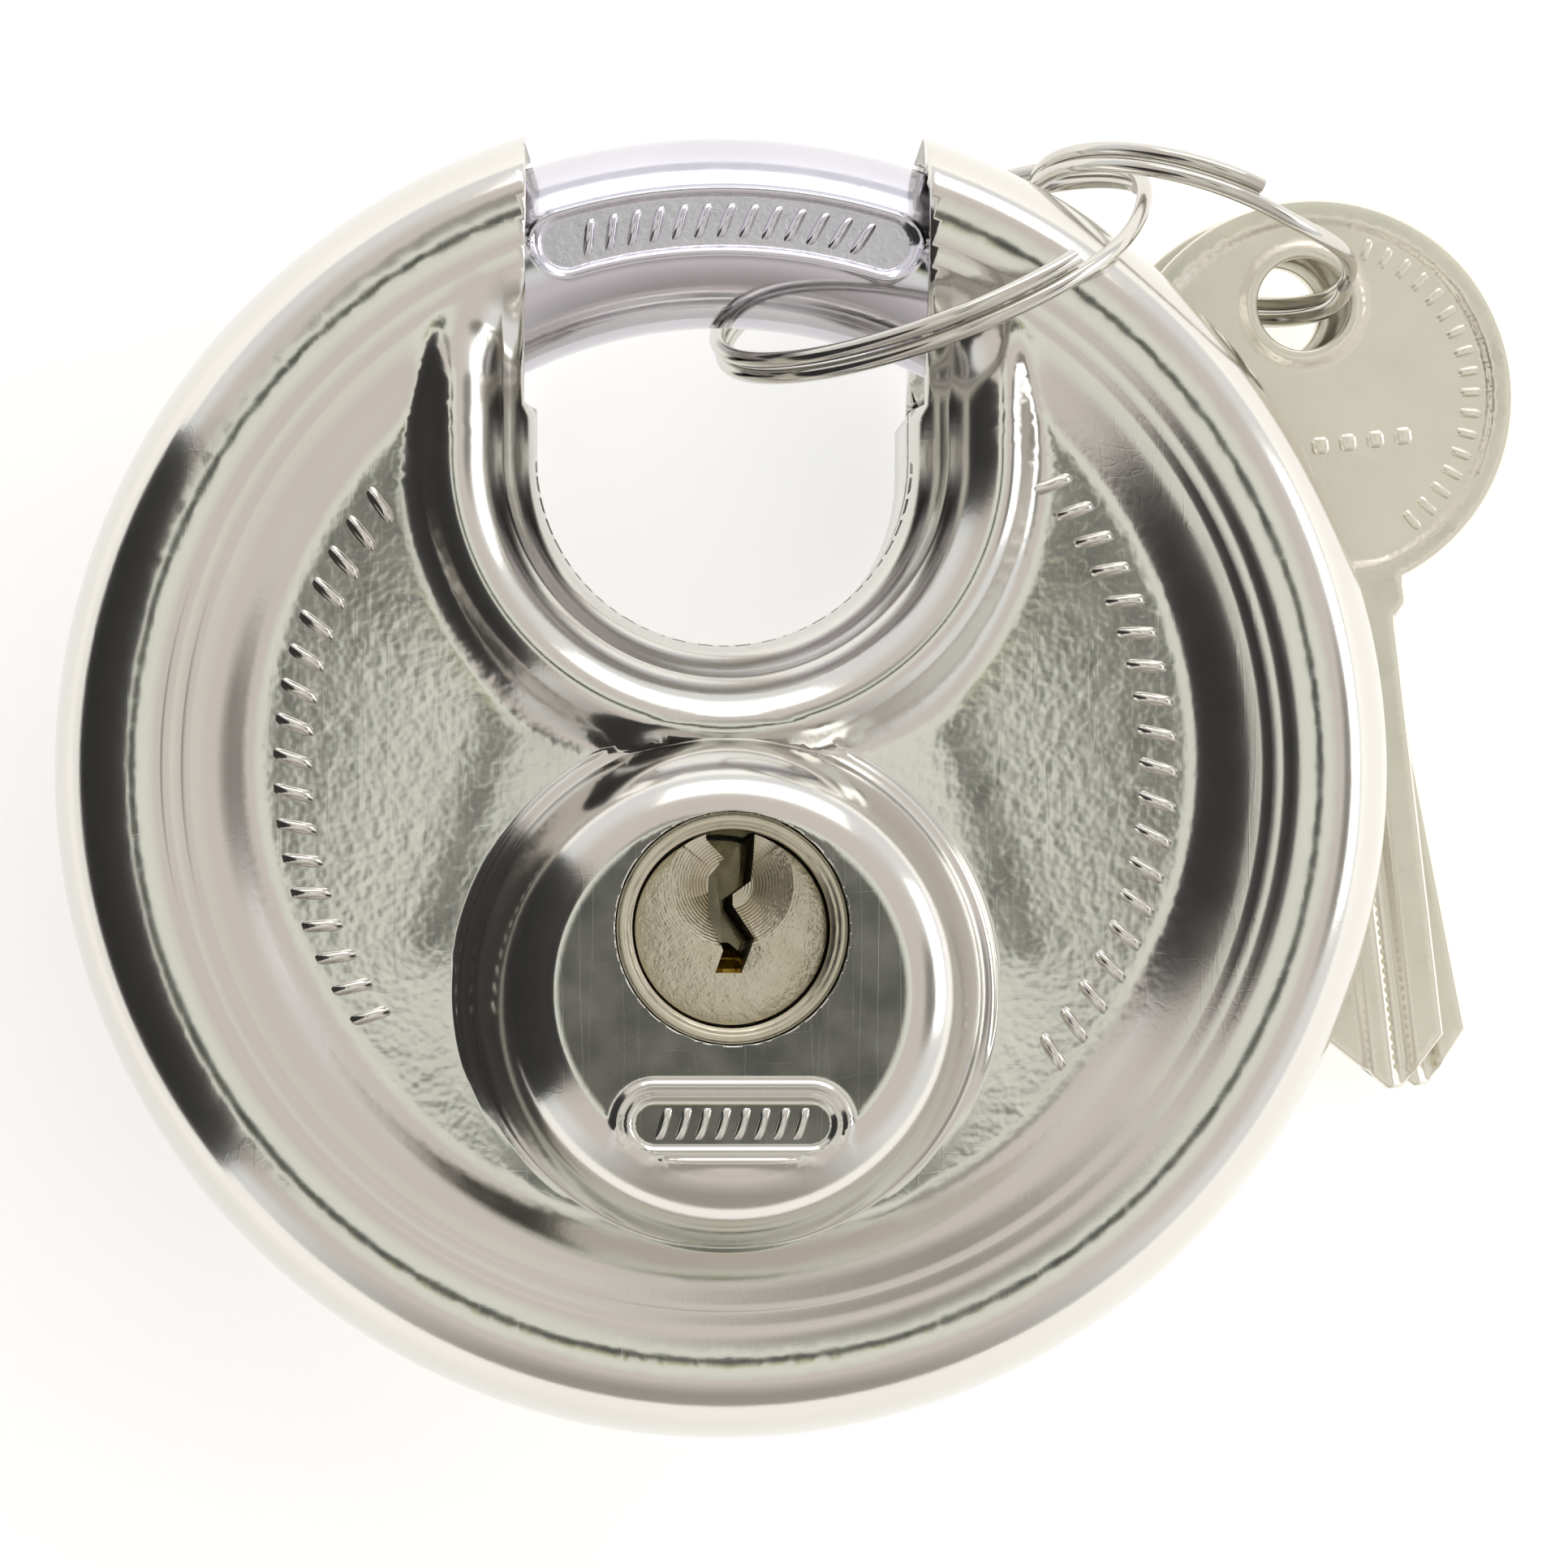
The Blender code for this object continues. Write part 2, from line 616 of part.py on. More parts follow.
def key_frame(place):
    """Where a key lies: x across the blade, y towards the bow's end, z through it."""
    plan, pitch, roll = (math.radians(place[k]) for k in ("plan", "pitch", "roll"))
    down = Vector((math.sin(plan), -math.cos(plan), 0.0))
    side = Vector((math.cos(plan), math.sin(plan), 0.0))
    rise = Vector((0.0, 0.0, 1.0))
    y = -(down * math.cos(pitch) - rise * math.sin(pitch))
    z = (side * math.cos(roll) + rise * math.sin(roll)).cross(y).normalized()
    return Matrix((y.cross(z), y, z)).transposed().to_4x4()


def key_outline():
    """Bow, shoulders, blade with its cuts on one side, and a pointed tip."""
    points = []
    right = KEY_BACK_X + KEY_SHOULDER
    left = KEY_CUT_X - KEY_SHOULDER
    low = -math.acos(right / KEY_BOW_R)
    high = math.pi + math.acos(-left / KEY_BOW_R)
    for i in range(37):
        a = low + (high - low) * i / 36
        points.append((KEY_BOW_R * math.cos(a), -KEY_BOW_L + KEY_BOW_R * math.sin(a)))
    points += [(left, -KEY_SHOULDER_L), (KEY_CUT_X, -KEY_SHOULDER_L - 0.8)]
    at = -KEY_SHOULDER_L - 3.0
    for depth in KEY_CUTS:
        points += [(KEY_CUT_X, at), (KEY_CUT_X + depth, at - 1.3)]
        points += [(KEY_CUT_X + depth, at - 2.1), (KEY_CUT_X, at - 3.4)]
        at -= 3.9
    points += [(KEY_CUT_X, 3.3 - KEY_TIP_L), (-0.4, -KEY_TIP_L), (0.4, -KEY_TIP_L)]
    points += [(KEY_BACK_X, 2.6 - KEY_TIP_L), (KEY_BACK_X, -KEY_SHOULDER_L - 0.8)]
    points.append((right, -KEY_SHOULDER_L))
    return points


def make_key(name, place, slot):
    half = KEY_THICK / 2
    key = new_object(name, prism_mesh(key_outline(), -half, half))
    field_r = KEY_BOW_R - KEY_RIM
    for side in (1, -1):
        inner = side * (half - KEY_FIELD_DEPTH)
        field = [(0, inner), (field_r, inner), (field_r, side * 5), (0, side * 5)]
        combine(key, new_object("field", lathe_mesh(field, (0.0, -KEY_BOW_L), 36)))
        low, high = sorted((side * (half - KEY_GROOVE_DEPTH), side * 5))
        groove = box_mesh(
            (-KEY_GROOVE_HALF, 2.0 - KEY_TIP_L, low), (KEY_GROOVE_HALF, -KEY_SHOULDER_L - 1.0, high)
        )
        combine(key, new_object("groove", groove))
    collar_r = KEY_HOLE_R + KEY_COLLAR
    collar = [(0, -half), (collar_r, -half), (collar_r, half), (0, half)]
    combine(key, new_object("collar", lathe_mesh(collar, sides=20)), "UNION")
    hole = [(0, -5), (KEY_HOLE_R, -5), (KEY_HOLE_R, 5), (0, 5)]
    combine(key, new_object("hole", lathe_mesh(hole, sides=20)))
    key.data.transform(key_frame(place))
    key.location = (SEAT + Vector(place["hole"])) * MM
    return finish(key, slot)


def ring_axes(place):
    chord, lean = math.radians(place["chord"]), math.radians(place["lean"])
    u = Vector((math.cos(chord), math.sin(chord), 0.0))
    away = Vector((math.sin(chord), -math.cos(chord), 0.0))
    v = Vector((0.0, 0.0, math.cos(lean))) + away * math.sin(lean)
    return u, v, u.cross(v)


def make_split_ring(name, place, slot):
    """Wire wound twice round: two turns side by side, stepping over between its ends."""
    u, v, axis = ring_axes(place)
    centre = SEAT + Vector(place["centre"])
    path, frames = [], []
    for i in range(76):
        t = 655.0 * i / 75
        step = min(max((t - 300.0) / 50.0, 0.0), 1.0)
        a = math.radians(t + place["start"])
        out = u * math.cos(a) + v * math.sin(a)
        path.append(centre + out * place["radius"] + axis * WIRE_PITCH * (step - 0.5))
        frames.append((out, axis))
    return finish(new_object(name, sweep_mesh(path, frames, WIRE_R, 6), origin=centre), slot)


def main():
    clear_scene()
    stainless = material("stainless_satin", (0.62, 0.62, 0.60), 0.28, 1.0)
    chrome = material("shackle_chrome", (0.70, 0.69, 0.71), 0.12, 1.0)
    cast = material("cast_zinc", (0.42, 0.43, 0.44), 0.55, 0.9)
    brass = material("brass", (0.70, 0.53, 0.27), 0.35, 1.0)
    nickel = material("nickelled_brass", (0.66, 0.62, 0.54), 0.30, 1.0)
    steel = material("bright_steel", (0.60, 0.60, 0.60), 0.30, 1.0)
    hard = material("hardened_steel", (0.30, 0.30, 0.31), 0.40, 1.0)
    silver = material("nickel_silver", (0.68, 0.64, 0.54), 0.26, 1.0)
    make_shells(stainless)
    make_shackle(chrome)
    make_core_block(cast)
    make_guard_plate(hard)
    make_housing(nickel)
    make_plug(nickel)
    make_pins(brass, steel)
    make_spring_cover(steel)
    make_drive_arm(hard)
    make_tail_fixings(steel)
    make_key("key_1", KEY_1, silver)
    make_key("key_2", KEY_2, silver)
    make_split_ring("split_ring_large", LARGE_RING, steel)
    make_split_ring("split_ring_small", SMALL_RING, steel)


main()
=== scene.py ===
# %% [markdown]
# # A disc padlock, its shackle and two keys
#
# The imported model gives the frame: where each solid stands and how it moves. Each cell
# below makes one piece of the real lock over that frame, or one finish. Sizes in the
# cells are millimetres, because that is how a locksmith would give them, and they are
# turned to metres when a mesh is made.

# %% Load the frame
import json
import math

import bmesh
import bpy
import numpy as np
from mathutils import Matrix, Vector
from mathutils.geometry import delaunay_2d_cdt


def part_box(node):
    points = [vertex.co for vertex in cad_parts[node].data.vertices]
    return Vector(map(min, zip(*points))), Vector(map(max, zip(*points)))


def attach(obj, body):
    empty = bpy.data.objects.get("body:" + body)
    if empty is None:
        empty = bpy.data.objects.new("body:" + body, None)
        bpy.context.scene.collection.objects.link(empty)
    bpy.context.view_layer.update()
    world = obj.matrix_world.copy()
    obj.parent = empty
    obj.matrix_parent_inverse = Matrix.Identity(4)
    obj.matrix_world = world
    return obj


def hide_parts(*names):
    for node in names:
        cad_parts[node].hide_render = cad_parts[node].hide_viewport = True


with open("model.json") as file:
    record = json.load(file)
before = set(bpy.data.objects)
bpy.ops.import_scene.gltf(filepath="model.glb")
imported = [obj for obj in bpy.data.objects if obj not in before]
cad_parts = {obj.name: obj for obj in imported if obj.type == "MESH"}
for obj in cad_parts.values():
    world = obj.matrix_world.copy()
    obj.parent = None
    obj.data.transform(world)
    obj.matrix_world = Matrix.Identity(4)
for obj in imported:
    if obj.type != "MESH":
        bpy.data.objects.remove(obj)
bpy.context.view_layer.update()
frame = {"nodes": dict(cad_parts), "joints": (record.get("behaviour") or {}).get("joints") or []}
MM = 0.001

# %% [markdown]
# The main sizes come from the frame, so that every piece lands on its solid. The rest
# are the sizes that a draughtsman would put on the section drawing of the pressing.

# %% Main sizes
def box_mm(node):
    low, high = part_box(node)
    return Vector(low) / MM, Vector(high) / MM


front_low, front_high = box_mm("front_shell")
rear_low, rear_high = box_mm("rear_shell")
plug_low, plug_high = box_mm("plug")
MID = (front_low.z + rear_high.z) / 2
SEAM = (front_low.z - rear_high.z) / 2
BODY_R = (front_high.x - front_low.x) / 2
BOSS_TOP = front_high.z - MID
PLATEAU = MID - rear_low.z
PLUG_XY = Vector(((plug_low.x + plug_high.x) / 2, (plug_low.y + plug_high.y) / 2))
PLUG_FACE = plug_high.z
SHEET = 1.3
PANEL = 4.6
RIM_HALF = 7.5
RIM_CREST = 31.0
BOSS_Y = -11.7
THROAT_R = 9.8
THROAT_Y = 16.3
MOUTH_Y = 19.1
MOUTH_X = 10.5
HOLE_R = 6.0
print(f"body {2 * BODY_R:.1f} mm, middle plane at {MID:.1f}, plug at {PLUG_XY.y:.1f}")

# %% [markdown]
# ## Helpers for meshes
# Sheet metal that a press has drawn is a smooth height over a flat plan. The plan is
# meshed once with points laid along the features, such as circles round the boss, so
# that the edges of the triangles follow the metal, and the height comes from a formula.

# %% From points to a piece
def new_mesh(name, points, faces, material, smooth=True):
    mesh = bpy.data.meshes.new(name)
    mesh.from_pydata((np.asarray(points, float) * MM).tolist(), [], [list(f) for f in faces])
    mesh.validate()
    piece = bpy.data.objects.new(name, mesh)
    bpy.context.scene.collection.objects.link(piece)
    mesh.materials.append(material)
    if smooth:
        mesh.shade_smooth()
    return piece


def count(piece):
    print(f"{piece.name}: {len(piece.data.polygons)} faces")
    return piece


def face_out(piece):
    """Turns every face outwards on a closed piece."""
    bm = bmesh.new()
    bm.from_mesh(piece.data)
    bmesh.ops.recalc_face_normals(bm, faces=bm.faces)
    bm.to_mesh(piece.data)
    bm.free()
    return piece


def attribute(piece, name, values):
    layer = piece.data.attributes.new(name, "FLOAT", "POINT")
    layer.data.foreach_set("value", np.asarray(values, np.float32))


print("piece helpers ready")

# %% [markdown]
# Points in plan lie on rings and on a triangular grid. Every ring of a family has the
# same number of points at the same angles, because rows that drift against each other
# show up as dotted lines in a bright reflection.

# %% Points in plan
def ring_points(radius, number, centre=(0.0, 0.0)):
    a = np.linspace(0, 2 * math.pi, number, endpoint=False)
    return np.stack([centre[0] + radius * np.cos(a), centre[1] + radius * np.sin(a)], 1)


def grid_points(low, high, spacing):
    """A triangular grid over a box in plan."""
    rows = []
    for j, y in enumerate(np.arange(low[1], high[1], spacing * 0.866)):
        x = np.arange(low[0] + (j % 2) * spacing / 2, high[0], spacing)
        rows.append(np.stack([x, np.full(len(x), y)], 1))
    return np.concatenate(rows)


print("points on a ring:", len(ring_points(1.0, 24)))

# %% [markdown]
# A height comes from a profile, a few points as on a drawing, softened as sheet metal
# softens over a die. A soft maximum runs two raised forms into each other.

# %% Heights
def smooth_profile(points, width=0.15):
    """A height that follows the given points, softened over a width."""
    at = np.arange(points[0][0] - 2, points[-1][0] + 2, 0.01)
    line = np.interp(at, [p[0] for p in points], [p[1] for p in points])
    reach = np.arange(-3 * width, 3 * width + 0.005, 0.01)
    bell = np.exp(-(reach / width) ** 2 / 2)
    line = np.convolve(np.pad(line, len(reach) // 2, mode="edge"), bell / bell.sum(), "valid")

    def height_at(r):
        return np.interp(r, at[: len(line)], line)

    return height_at


def smooth_step(x, low, high):
    t = np.clip((x - low) / (high - low), 0, 1)
    return t * t * (3 - 2 * t)


def soft_max(a, b, power=5.0):
    a, b = np.maximum(a, 0), np.maximum(b, 0)
    return (a**power + b**power) ** (1 / power)


print("softened step at half way:", float(smooth_step(0.5, 0.0, 1.0)))

# %% [markdown]
# The plan becomes triangles by a constrained Delaunay mesh, which keeps every edge of
# the outline. What follows lists the open edges of such a mesh, adds rows of faces to
# them for walls, and gives the sheet its other face.

# %% From a plan to a closed sheet
def triangulate(points, loops, inside):
    """Triangles over plan points, with the loops' edges kept, where inside says so."""
    coords = [Vector((float(x), float(y))) for x, y in points]
    edges = []
    for loop in loops:
        first = len(coords)
        coords += [Vector((float(x), float(y))) for x, y in loop]
        edges += [(first + i, first + (i + 1) % len(loop)) for i in range(len(loop))]
    verts, _, faces, *_ = delaunay_2d_cdt(coords, edges, [], 0, 1e-4)
    verts = np.array([(v.x, v.y) for v in verts])
    faces = np.array([f for f in faces if len(f) == 3])
    middle = verts[faces].mean(axis=1)
    faces = faces[inside(middle)]
    a, b, c = (verts[faces[:, i]] for i in range(3))
    area = (b[:, 0] - a[:, 0]) * (c[:, 1] - a[:, 1]) - (b[:, 1] - a[:, 1]) * (c[:, 0] - a[:, 0])
    faces[area < 0] = faces[area < 0][:, ::-1]
    faces = faces[np.abs(area) > 1e-7]
    used, index = np.unique(faces, return_inverse=True)
    return verts[used], index.reshape(faces.shape)


def open_edges(faces):
    """Edges with one face, in that face's own direction."""
    ends = np.concatenate([faces[:, [0, 1]], faces[:, [1, 2]], faces[:, [2, 0]]])
    key = np.sort(ends, axis=1)
    _, index, number = np.unique(key, axis=0, return_inverse=True, return_counts=True)
    return ends[number[index.reshape(-1)] == 1]


def add_row(points, faces, chosen, moved):
    """A strip from the chosen open edges to the same points moved."""
    edges = open_edges(faces)
    edges = edges[chosen[edges[:, 0]] & chosen[edges[:, 1]]]
    old = np.unique(edges)
    new = np.full(len(points), -1)
    new[old] = len(points) + np.arange(len(old))
    a, b = edges[:, 0], edges[:, 1]
    strip = np.concatenate([np.stack([b, a, new[a]], 1), np.stack([b, new[a], new[b]], 1)])
    flags = np.concatenate([np.zeros(len(points), bool), np.ones(len(old), bool)])
    return np.concatenate([points, moved(points[old])]), np.concatenate([faces, strip]), flags


def point_normals(points, faces):
    a, b, c = (points[faces[:, i]] for i in range(3))
    face_normal = np.cross(b - a, c - a)
    total = np.zeros_like(points)
    for i in range(3):
        np.add.at(total, faces[:, i], face_normal)
    return total / np.maximum(np.linalg.norm(total, axis=1, keepdims=True), 1e-12)


def thicken(points, faces, depth, flatten):
    """The sheet's other face and its cut edges, from its outer face."""
    normal = flatten(points, point_normals(points, faces))
    inner = points - normal * depth
    edges = open_edges(faces)
    a, b = edges[:, 0], edges[:, 1]
    n = len(points)
    sides = np.concatenate([np.stack([b, a, a + n], 1), np.stack([b, a + n, b + n], 1)])
    return np.concatenate([points, inner]), np.concatenate([faces, faces[:, ::-1] + n, sides])


print("sheet helpers ready")

# %% [markdown]
# ## Helpers for finishes
# Each finish starts from the real metal: its own colour in sRGB, made linear once, how
# its surface was made, and the size of its marks in millimetres. One small function
# adds a node, sets it and links it.

# %% Colour and node helpers
def linear(hex_colour):
    """An sRGB hex colour as linear light."""
    parts = [int(hex_colour[i : i + 2], 16) / 255 for i in (1, 3, 5)]
    return [c / 12.92 if c <= 0.04045 else ((c + 0.055) / 1.055) ** 2.4 for c in parts] + [1.0]


def add(tree, kind, links=None, **settings):
    """A node with its settings, and each named input set to a value or linked."""
    node = tree.nodes.new(kind)
    for key, value in settings.items():
        setattr(node, key, value)
    for key, value in (links or {}).items():
        if isinstance(value, bpy.types.Node):
            value = value.outputs[0]
        if isinstance(value, bpy.types.NodeSocket):
            tree.links.new(value, node.inputs[key])
        else:
            node.inputs[key].default_value = value
    return node


def start_finish(name, colour, roughness, metallic=1.0):
    """A material with its plain colour and roughness set on the shader."""
    finish = bpy.data.materials.new(name)
    finish.use_nodes = True
    shader = finish.node_tree.nodes["Principled BSDF"]
    shader.inputs["Base Color"].default_value = linear(colour)
    shader.inputs["Roughness"].default_value = roughness
    shader.inputs["Metallic"].default_value = metallic
    return finish, finish.node_tree, shader


print("white in linear light:", linear("#FFFFFF"))

# %% [markdown]
# No made surface is even. Its tone and its roughness drift over a few millimetres, and
# handling leaves hairlines. Both effects start from noise in the object's own space, so
# that they stay on the metal when the piece moves.

# %% Clouds, tones and hairlines
def clouds(tree, size_mm, detail, stretch=(1, 1, 1), rough=0.55):
    """Cloudy marks about size_mm across."""
    place = add(tree, "ShaderNodeTexCoord").outputs["Object"]
    scaled = add(tree, "ShaderNodeMapping", {"Vector": place, "Scale": stretch})
    return add(tree, "ShaderNodeTexNoise", {
        "Vector": scaled, "Scale": 1000 / size_mm, "Detail": detail, "Roughness": rough,
    })


def two_tones(tree, shader, low, high, marks):
    """The base colour drifts between two tones of the same metal."""
    mix = add(tree, "ShaderNodeMix", {"Factor": marks}, data_type="RGBA")
    mix.inputs["A"].default_value = linear(low)
    mix.inputs["B"].default_value = linear(high)
    tree.links.new(mix.outputs["Result"], shader.inputs["Base Color"])


def hairlines(tree, size_mm, stretch):
    """Thin lines, where a stretched noise crosses its middle value."""
    lines = clouds(tree, size_mm, 2.0, stretch)
    side = add(tree, "ShaderNodeMath", {0: lines, 1: 0.5}, operation="SUBTRACT")
    away = add(tree, "ShaderNodeMath", {0: side}, operation="ABSOLUTE")
    return add(tree, "ShaderNodeMapRange", {"Value": away, "From Max": 0.012, "To Min": 1.0, "To Max": 0.0})


def wear(tree, shader, marks, low, high, mask=0.0, extra=0.0):
    """Roughness drifts between two values, and is a little higher where a mask says."""
    drift = add(tree, "ShaderNodeMapRange", {
        "Value": marks, "From Min": 0.3, "From Max": 0.7, "To Min": low, "To Max": high,
    })
    rough = add(tree, "ShaderNodeMath", {0: mask, 1: extra, 2: drift}, operation="MULTIPLY_ADD")
    tree.links.new(rough.outputs[0], shader.inputs["Roughness"])


def relief(tree, shader, layers):
    """Fine heights laid over one another, each with its depth in mm and its strength."""
    below = {}
    for height, depth_mm, strength in layers:
        settings = {"Height": height, "Distance": depth_mm * MM, "Strength": strength}
        below = {"Normal": add(tree, "ShaderNodeBump", {**settings, **below})}
    tree.links.new(below["Normal"].outputs[0], shader.inputs["Normal"])


print("cloud, hairline, wear and relief helpers ready")

# %% [markdown]
# ## Stainless steel, pressed and electropolished
# AISI 304 sheet is a slightly warm grey. Tumbling and electropolishing leave it bright
# but soft: broad reflections with cloudy edges and fine hairlines. Where the die has
# pressed the panel hard, the surface keeps its pebbled grain, so the mesh carries a
# mask that says where that grain is.

# %% Stainless steel
def stainless_finish(name):
    finish, tree, shader = start_finish(name, "#DEDCD6", 0.2)
    two_tones(tree, shader, "#DCDAD4", "#E2E0DA", clouds(tree, 9.0, 2.0))
    mask = add(tree, "ShaderNodeAttribute", attribute_name="pebble").outputs["Fac"]
    wear(tree, shader, clouds(tree, 2.6, 2.0), 0.14, 0.17, mask, 0.03)
    stones = clouds(tree, 0.7, 1.0, rough=0.5)
    pebbles = add(tree, "ShaderNodeMath", {0: stones, 1: mask}, operation="MULTIPLY")
    across, along = hairlines(tree, 1.6, (1, 0.05, 1)), hairlines(tree, 2.0, (0.3, 1, 1))
    both = add(tree, "ShaderNodeMath", {0: across, 1: along}, operation="ADD")
    fine = clouds(tree, 0.35, 2.0)
    relief(tree, shader, [(pebbles, 0.022, 1.0), (fine, 0.0016, 1.0), (both, 0.0012, 0.5)])
    return finish


stainless = stainless_finish("pressed_stainless")
print("finish:", stainless.name)

# %% [markdown]
# ## Plated bar and bright wire
# The shackle is hardened alloy steel under bright zinc and chrome, cooler and smoother
# than the body. The split rings are spring wire, drawn through a die and nickelled. The
# sunk panel on the bar is rough like a casting, and a mask says where it is.

# %% Plated steel
def plated_finish(name, low, high, rough_low, rough_high):
    finish, tree, shader = start_finish(name, high, rough_low)
    two_tones(tree, shader, low, high, clouds(tree, 6.0, 4.0))
    mask = add(tree, "ShaderNodeAttribute", attribute_name="cast").outputs["Fac"]
    wear(tree, shader, clouds(tree, 1.4, 4.0), rough_low, rough_high, mask, 0.16)
    grain = add(tree, "ShaderNodeMath", {0: clouds(tree, 0.45, 3.0), 1: mask}, operation="MULTIPLY")
    waves, drawn = clouds(tree, 2.2, 2.0), hairlines(tree, 4.0, (0.15, 1, 1))
    relief(tree, shader, [(grain, 0.06, 1.0), (waves, 0.006, 1.0), (drawn, 0.002, 0.5)])
    return finish


chrome = plated_finish("plated_bar", "#CFCDD6", "#E2E0E8", 0.08, 0.17)
wire_steel = plated_finish("nickelled_wire", "#CBC8C0", "#DCDAD4", 0.1, 0.2)
bright_steel = plated_finish("bright_steel", "#B4B2AE", "#C9C7C3", 0.16, 0.3)
print("finishes:", chrome.name, wire_steel.name, bright_steel.name)

# %% [markdown]
# ## Nickel silver
# Keys are stamped from nickel silver: a warm, pale metal that tumbling leaves satin,
# with handling scratches both ways. The sunk field of the bow keeps a finer grain.

# %% Key metal
def key_finish(name):
    finish, tree, shader = start_finish(name, "#EFEBDE", 0.3)
    two_tones(tree, shader, "#EBE7D8", "#F3F0E4", clouds(tree, 5.0, 3.0))
    field = add(tree, "ShaderNodeAttribute", attribute_name="cast").outputs["Fac"]
    wear(tree, shader, clouds(tree, 1.8, 3.0), 0.28, 0.36, field, 0.06)
    grain = add(tree, "ShaderNodeMath", {0: clouds(tree, 0.3, 3.0), 1: field}, operation="MULTIPLY")
    across, along = hairlines(tree, 3.0, (1, 0.12, 1)), hairlines(tree, 3.5, (0.2, 1, 1))
    both = add(tree, "ShaderNodeMath", {0: across, 1: along}, operation="ADD")
    waves = clouds(tree, 2.5, 2.0)
    relief(tree, shader, [(grain, 0.012, 1.0), (both, 0.002, 0.5), (waves, 0.004, 1.0)])
    return finish


nickel_silver = key_finish("nickel_silver_key")
print("finish:", nickel_silver.name)

# %% [markdown]
# ## Nickelled brass
# The plug is brass under nickel, left as cast on its face and turned bright in the
# countersink. Two masks say which is where. The lathe leaves fine rings about the
# countersink's own axis, a sine of the distance from it.

# %% Cylinder metal
LATHE_FEED = 0.16
CONE_Y = PLUG_XY.y + 2.3


def cylinder_finish(name, centre):
    finish, tree, shader = start_finish(name, "#D2CCB9", 0.3)
    two_tones(tree, shader, "#C4BDA6", "#DDD7C6", clouds(tree, 1.5, 3.0))
    grain = add(tree, "ShaderNodeAttribute", attribute_name="cast").outputs["Fac"]
    turned = add(tree, "ShaderNodeAttribute", attribute_name="turned").outputs["Fac"]
    wear(tree, shader, clouds(tree, 0.9, 4.0), 0.22, 0.36, grain, 0.08)
    sand = clouds(tree, 0.42, 3.0, rough=0.6)
    bumps = add(tree, "ShaderNodeMath", {0: sand, 1: grain}, operation="MULTIPLY")
    place = add(tree, "ShaderNodeTexCoord").outputs["Object"]
    flat = add(tree, "ShaderNodeVectorMath", {0: place, 1: (1, 1, 0)}, operation="MULTIPLY")
    axis = tuple(c * MM for c in centre)
    away = add(tree, "ShaderNodeVectorMath", {0: flat, 1: axis}, operation="DISTANCE").outputs["Value"]
    phase = add(tree, "ShaderNodeMath", {0: away, 1: 2 * math.pi / (LATHE_FEED * MM)}, operation="MULTIPLY")
    rings = add(tree, "ShaderNodeMath", {0: phase}, operation="SINE")
    on_cone = add(tree, "ShaderNodeMath", {0: rings, 1: turned}, operation="MULTIPLY")
    relief(tree, shader, [(bumps, 0.11, 1.0), (on_cone, 0.006, 1.0)])
    return finish


nickelled_brass = cylinder_finish("nickelled_brass_cylinder", (PLUG_XY.x, CONE_Y, 0.0))
print("finish:", nickelled_brass.name)

# %% [markdown]
# ## The hidden metals
# Pins are plain turned brass. The core is die-cast zinc, dull and cloudy. The arm and
# the guard plate are hardened steel, dark from heat. The weld is stainless that has run
# and gone slightly straw-coloured.

# %% Brass, zinc, hardened steel and weld
def dull_finish(name, low, high, rough_low, rough_high, grain_mm, depth_mm):
    finish, tree, shader = start_finish(name, high, rough_high)
    two_tones(tree, shader, low, high, clouds(tree, 3.0, 5.0))
    wear(tree, shader, clouds(tree, 1.2, 4.0), rough_low, rough_high)
    relief(tree, shader, [(clouds(tree, grain_mm, 4.0), depth_mm, 1.0)])
    return finish


brass = dull_finish("turned_brass", "#A9862F", "#CBA94E", 0.18, 0.32, 0.25, 0.006)
cast_zinc = dull_finish("die_cast_zinc", "#7F8184", "#9A9B9D", 0.42, 0.6, 0.5, 0.03)
hardened = dull_finish("hardened_steel", "#3F4043", "#5A5A5C", 0.32, 0.5, 0.3, 0.01)
weld_metal = dull_finish("weld_metal", "#B5B1A8", "#CFCBC2", 0.2, 0.34, 0.3, 0.02)
print("finishes:", brass.name, cast_zinc.name, hardened.name, weld_metal.name)

# %% [markdown]
# ## The front shell
# A press draws this shell from 1.3 mm sheet in several strokes: the round rim that
# houses the shackle, the sunk panel, the collar round the throat and the boss for the
# cylinder. Each is a height over the plan. The rim and the collar run into each other
# at the horns without an edge, so they are joined with a soft maximum. A raised frame
# under the keyhole is where a maker would stamp a name, and here it stays plain.

# %% Distances and the outer parts
def throat_distance(x, y):
    """Distance from the throat's centre line, which is a point below and a line above."""
    return np.where(y < THROAT_Y, np.hypot(x, y - THROAT_Y), np.abs(x))


def panel_dish(x, y):
    """How far the panel rises away from its lowest places, one each side of the boss."""
    low = np.array([11.5, 2.2])
    run = np.array([15.0, -9.0]) - low
    across, along = np.abs(x) - low[0], y - low[1]
    part = np.clip((across * run[0] + along * run[1]) / (run @ run), 0, 1)
    away = np.hypot(across - part * run[0], along - part * run[1])
    return 1.1 * np.tanh(0.085 * (np.hypot(away, 1.5) - 1.5))


def rim_flank(radius):
    """The outer quarter of the rim, a full round that is a little square."""
    t = np.clip((radius - RIM_CREST) / (BODY_R - 0.03 - RIM_CREST), 0, 1)
    return RIM_HALF * (1 - t**2.2) ** (1 / 2.2)


print("rim height at its crest:", float(rim_flank(RIM_CREST)))

# %% [markdown]
# Four profiles say the rest: the rim's inner side with its two fine steps, the collar's
# outer side, the lip that turns down into the throat, and the boss with its foot ring.
# Each is a list of distance and height, as a draughtsman would give them.

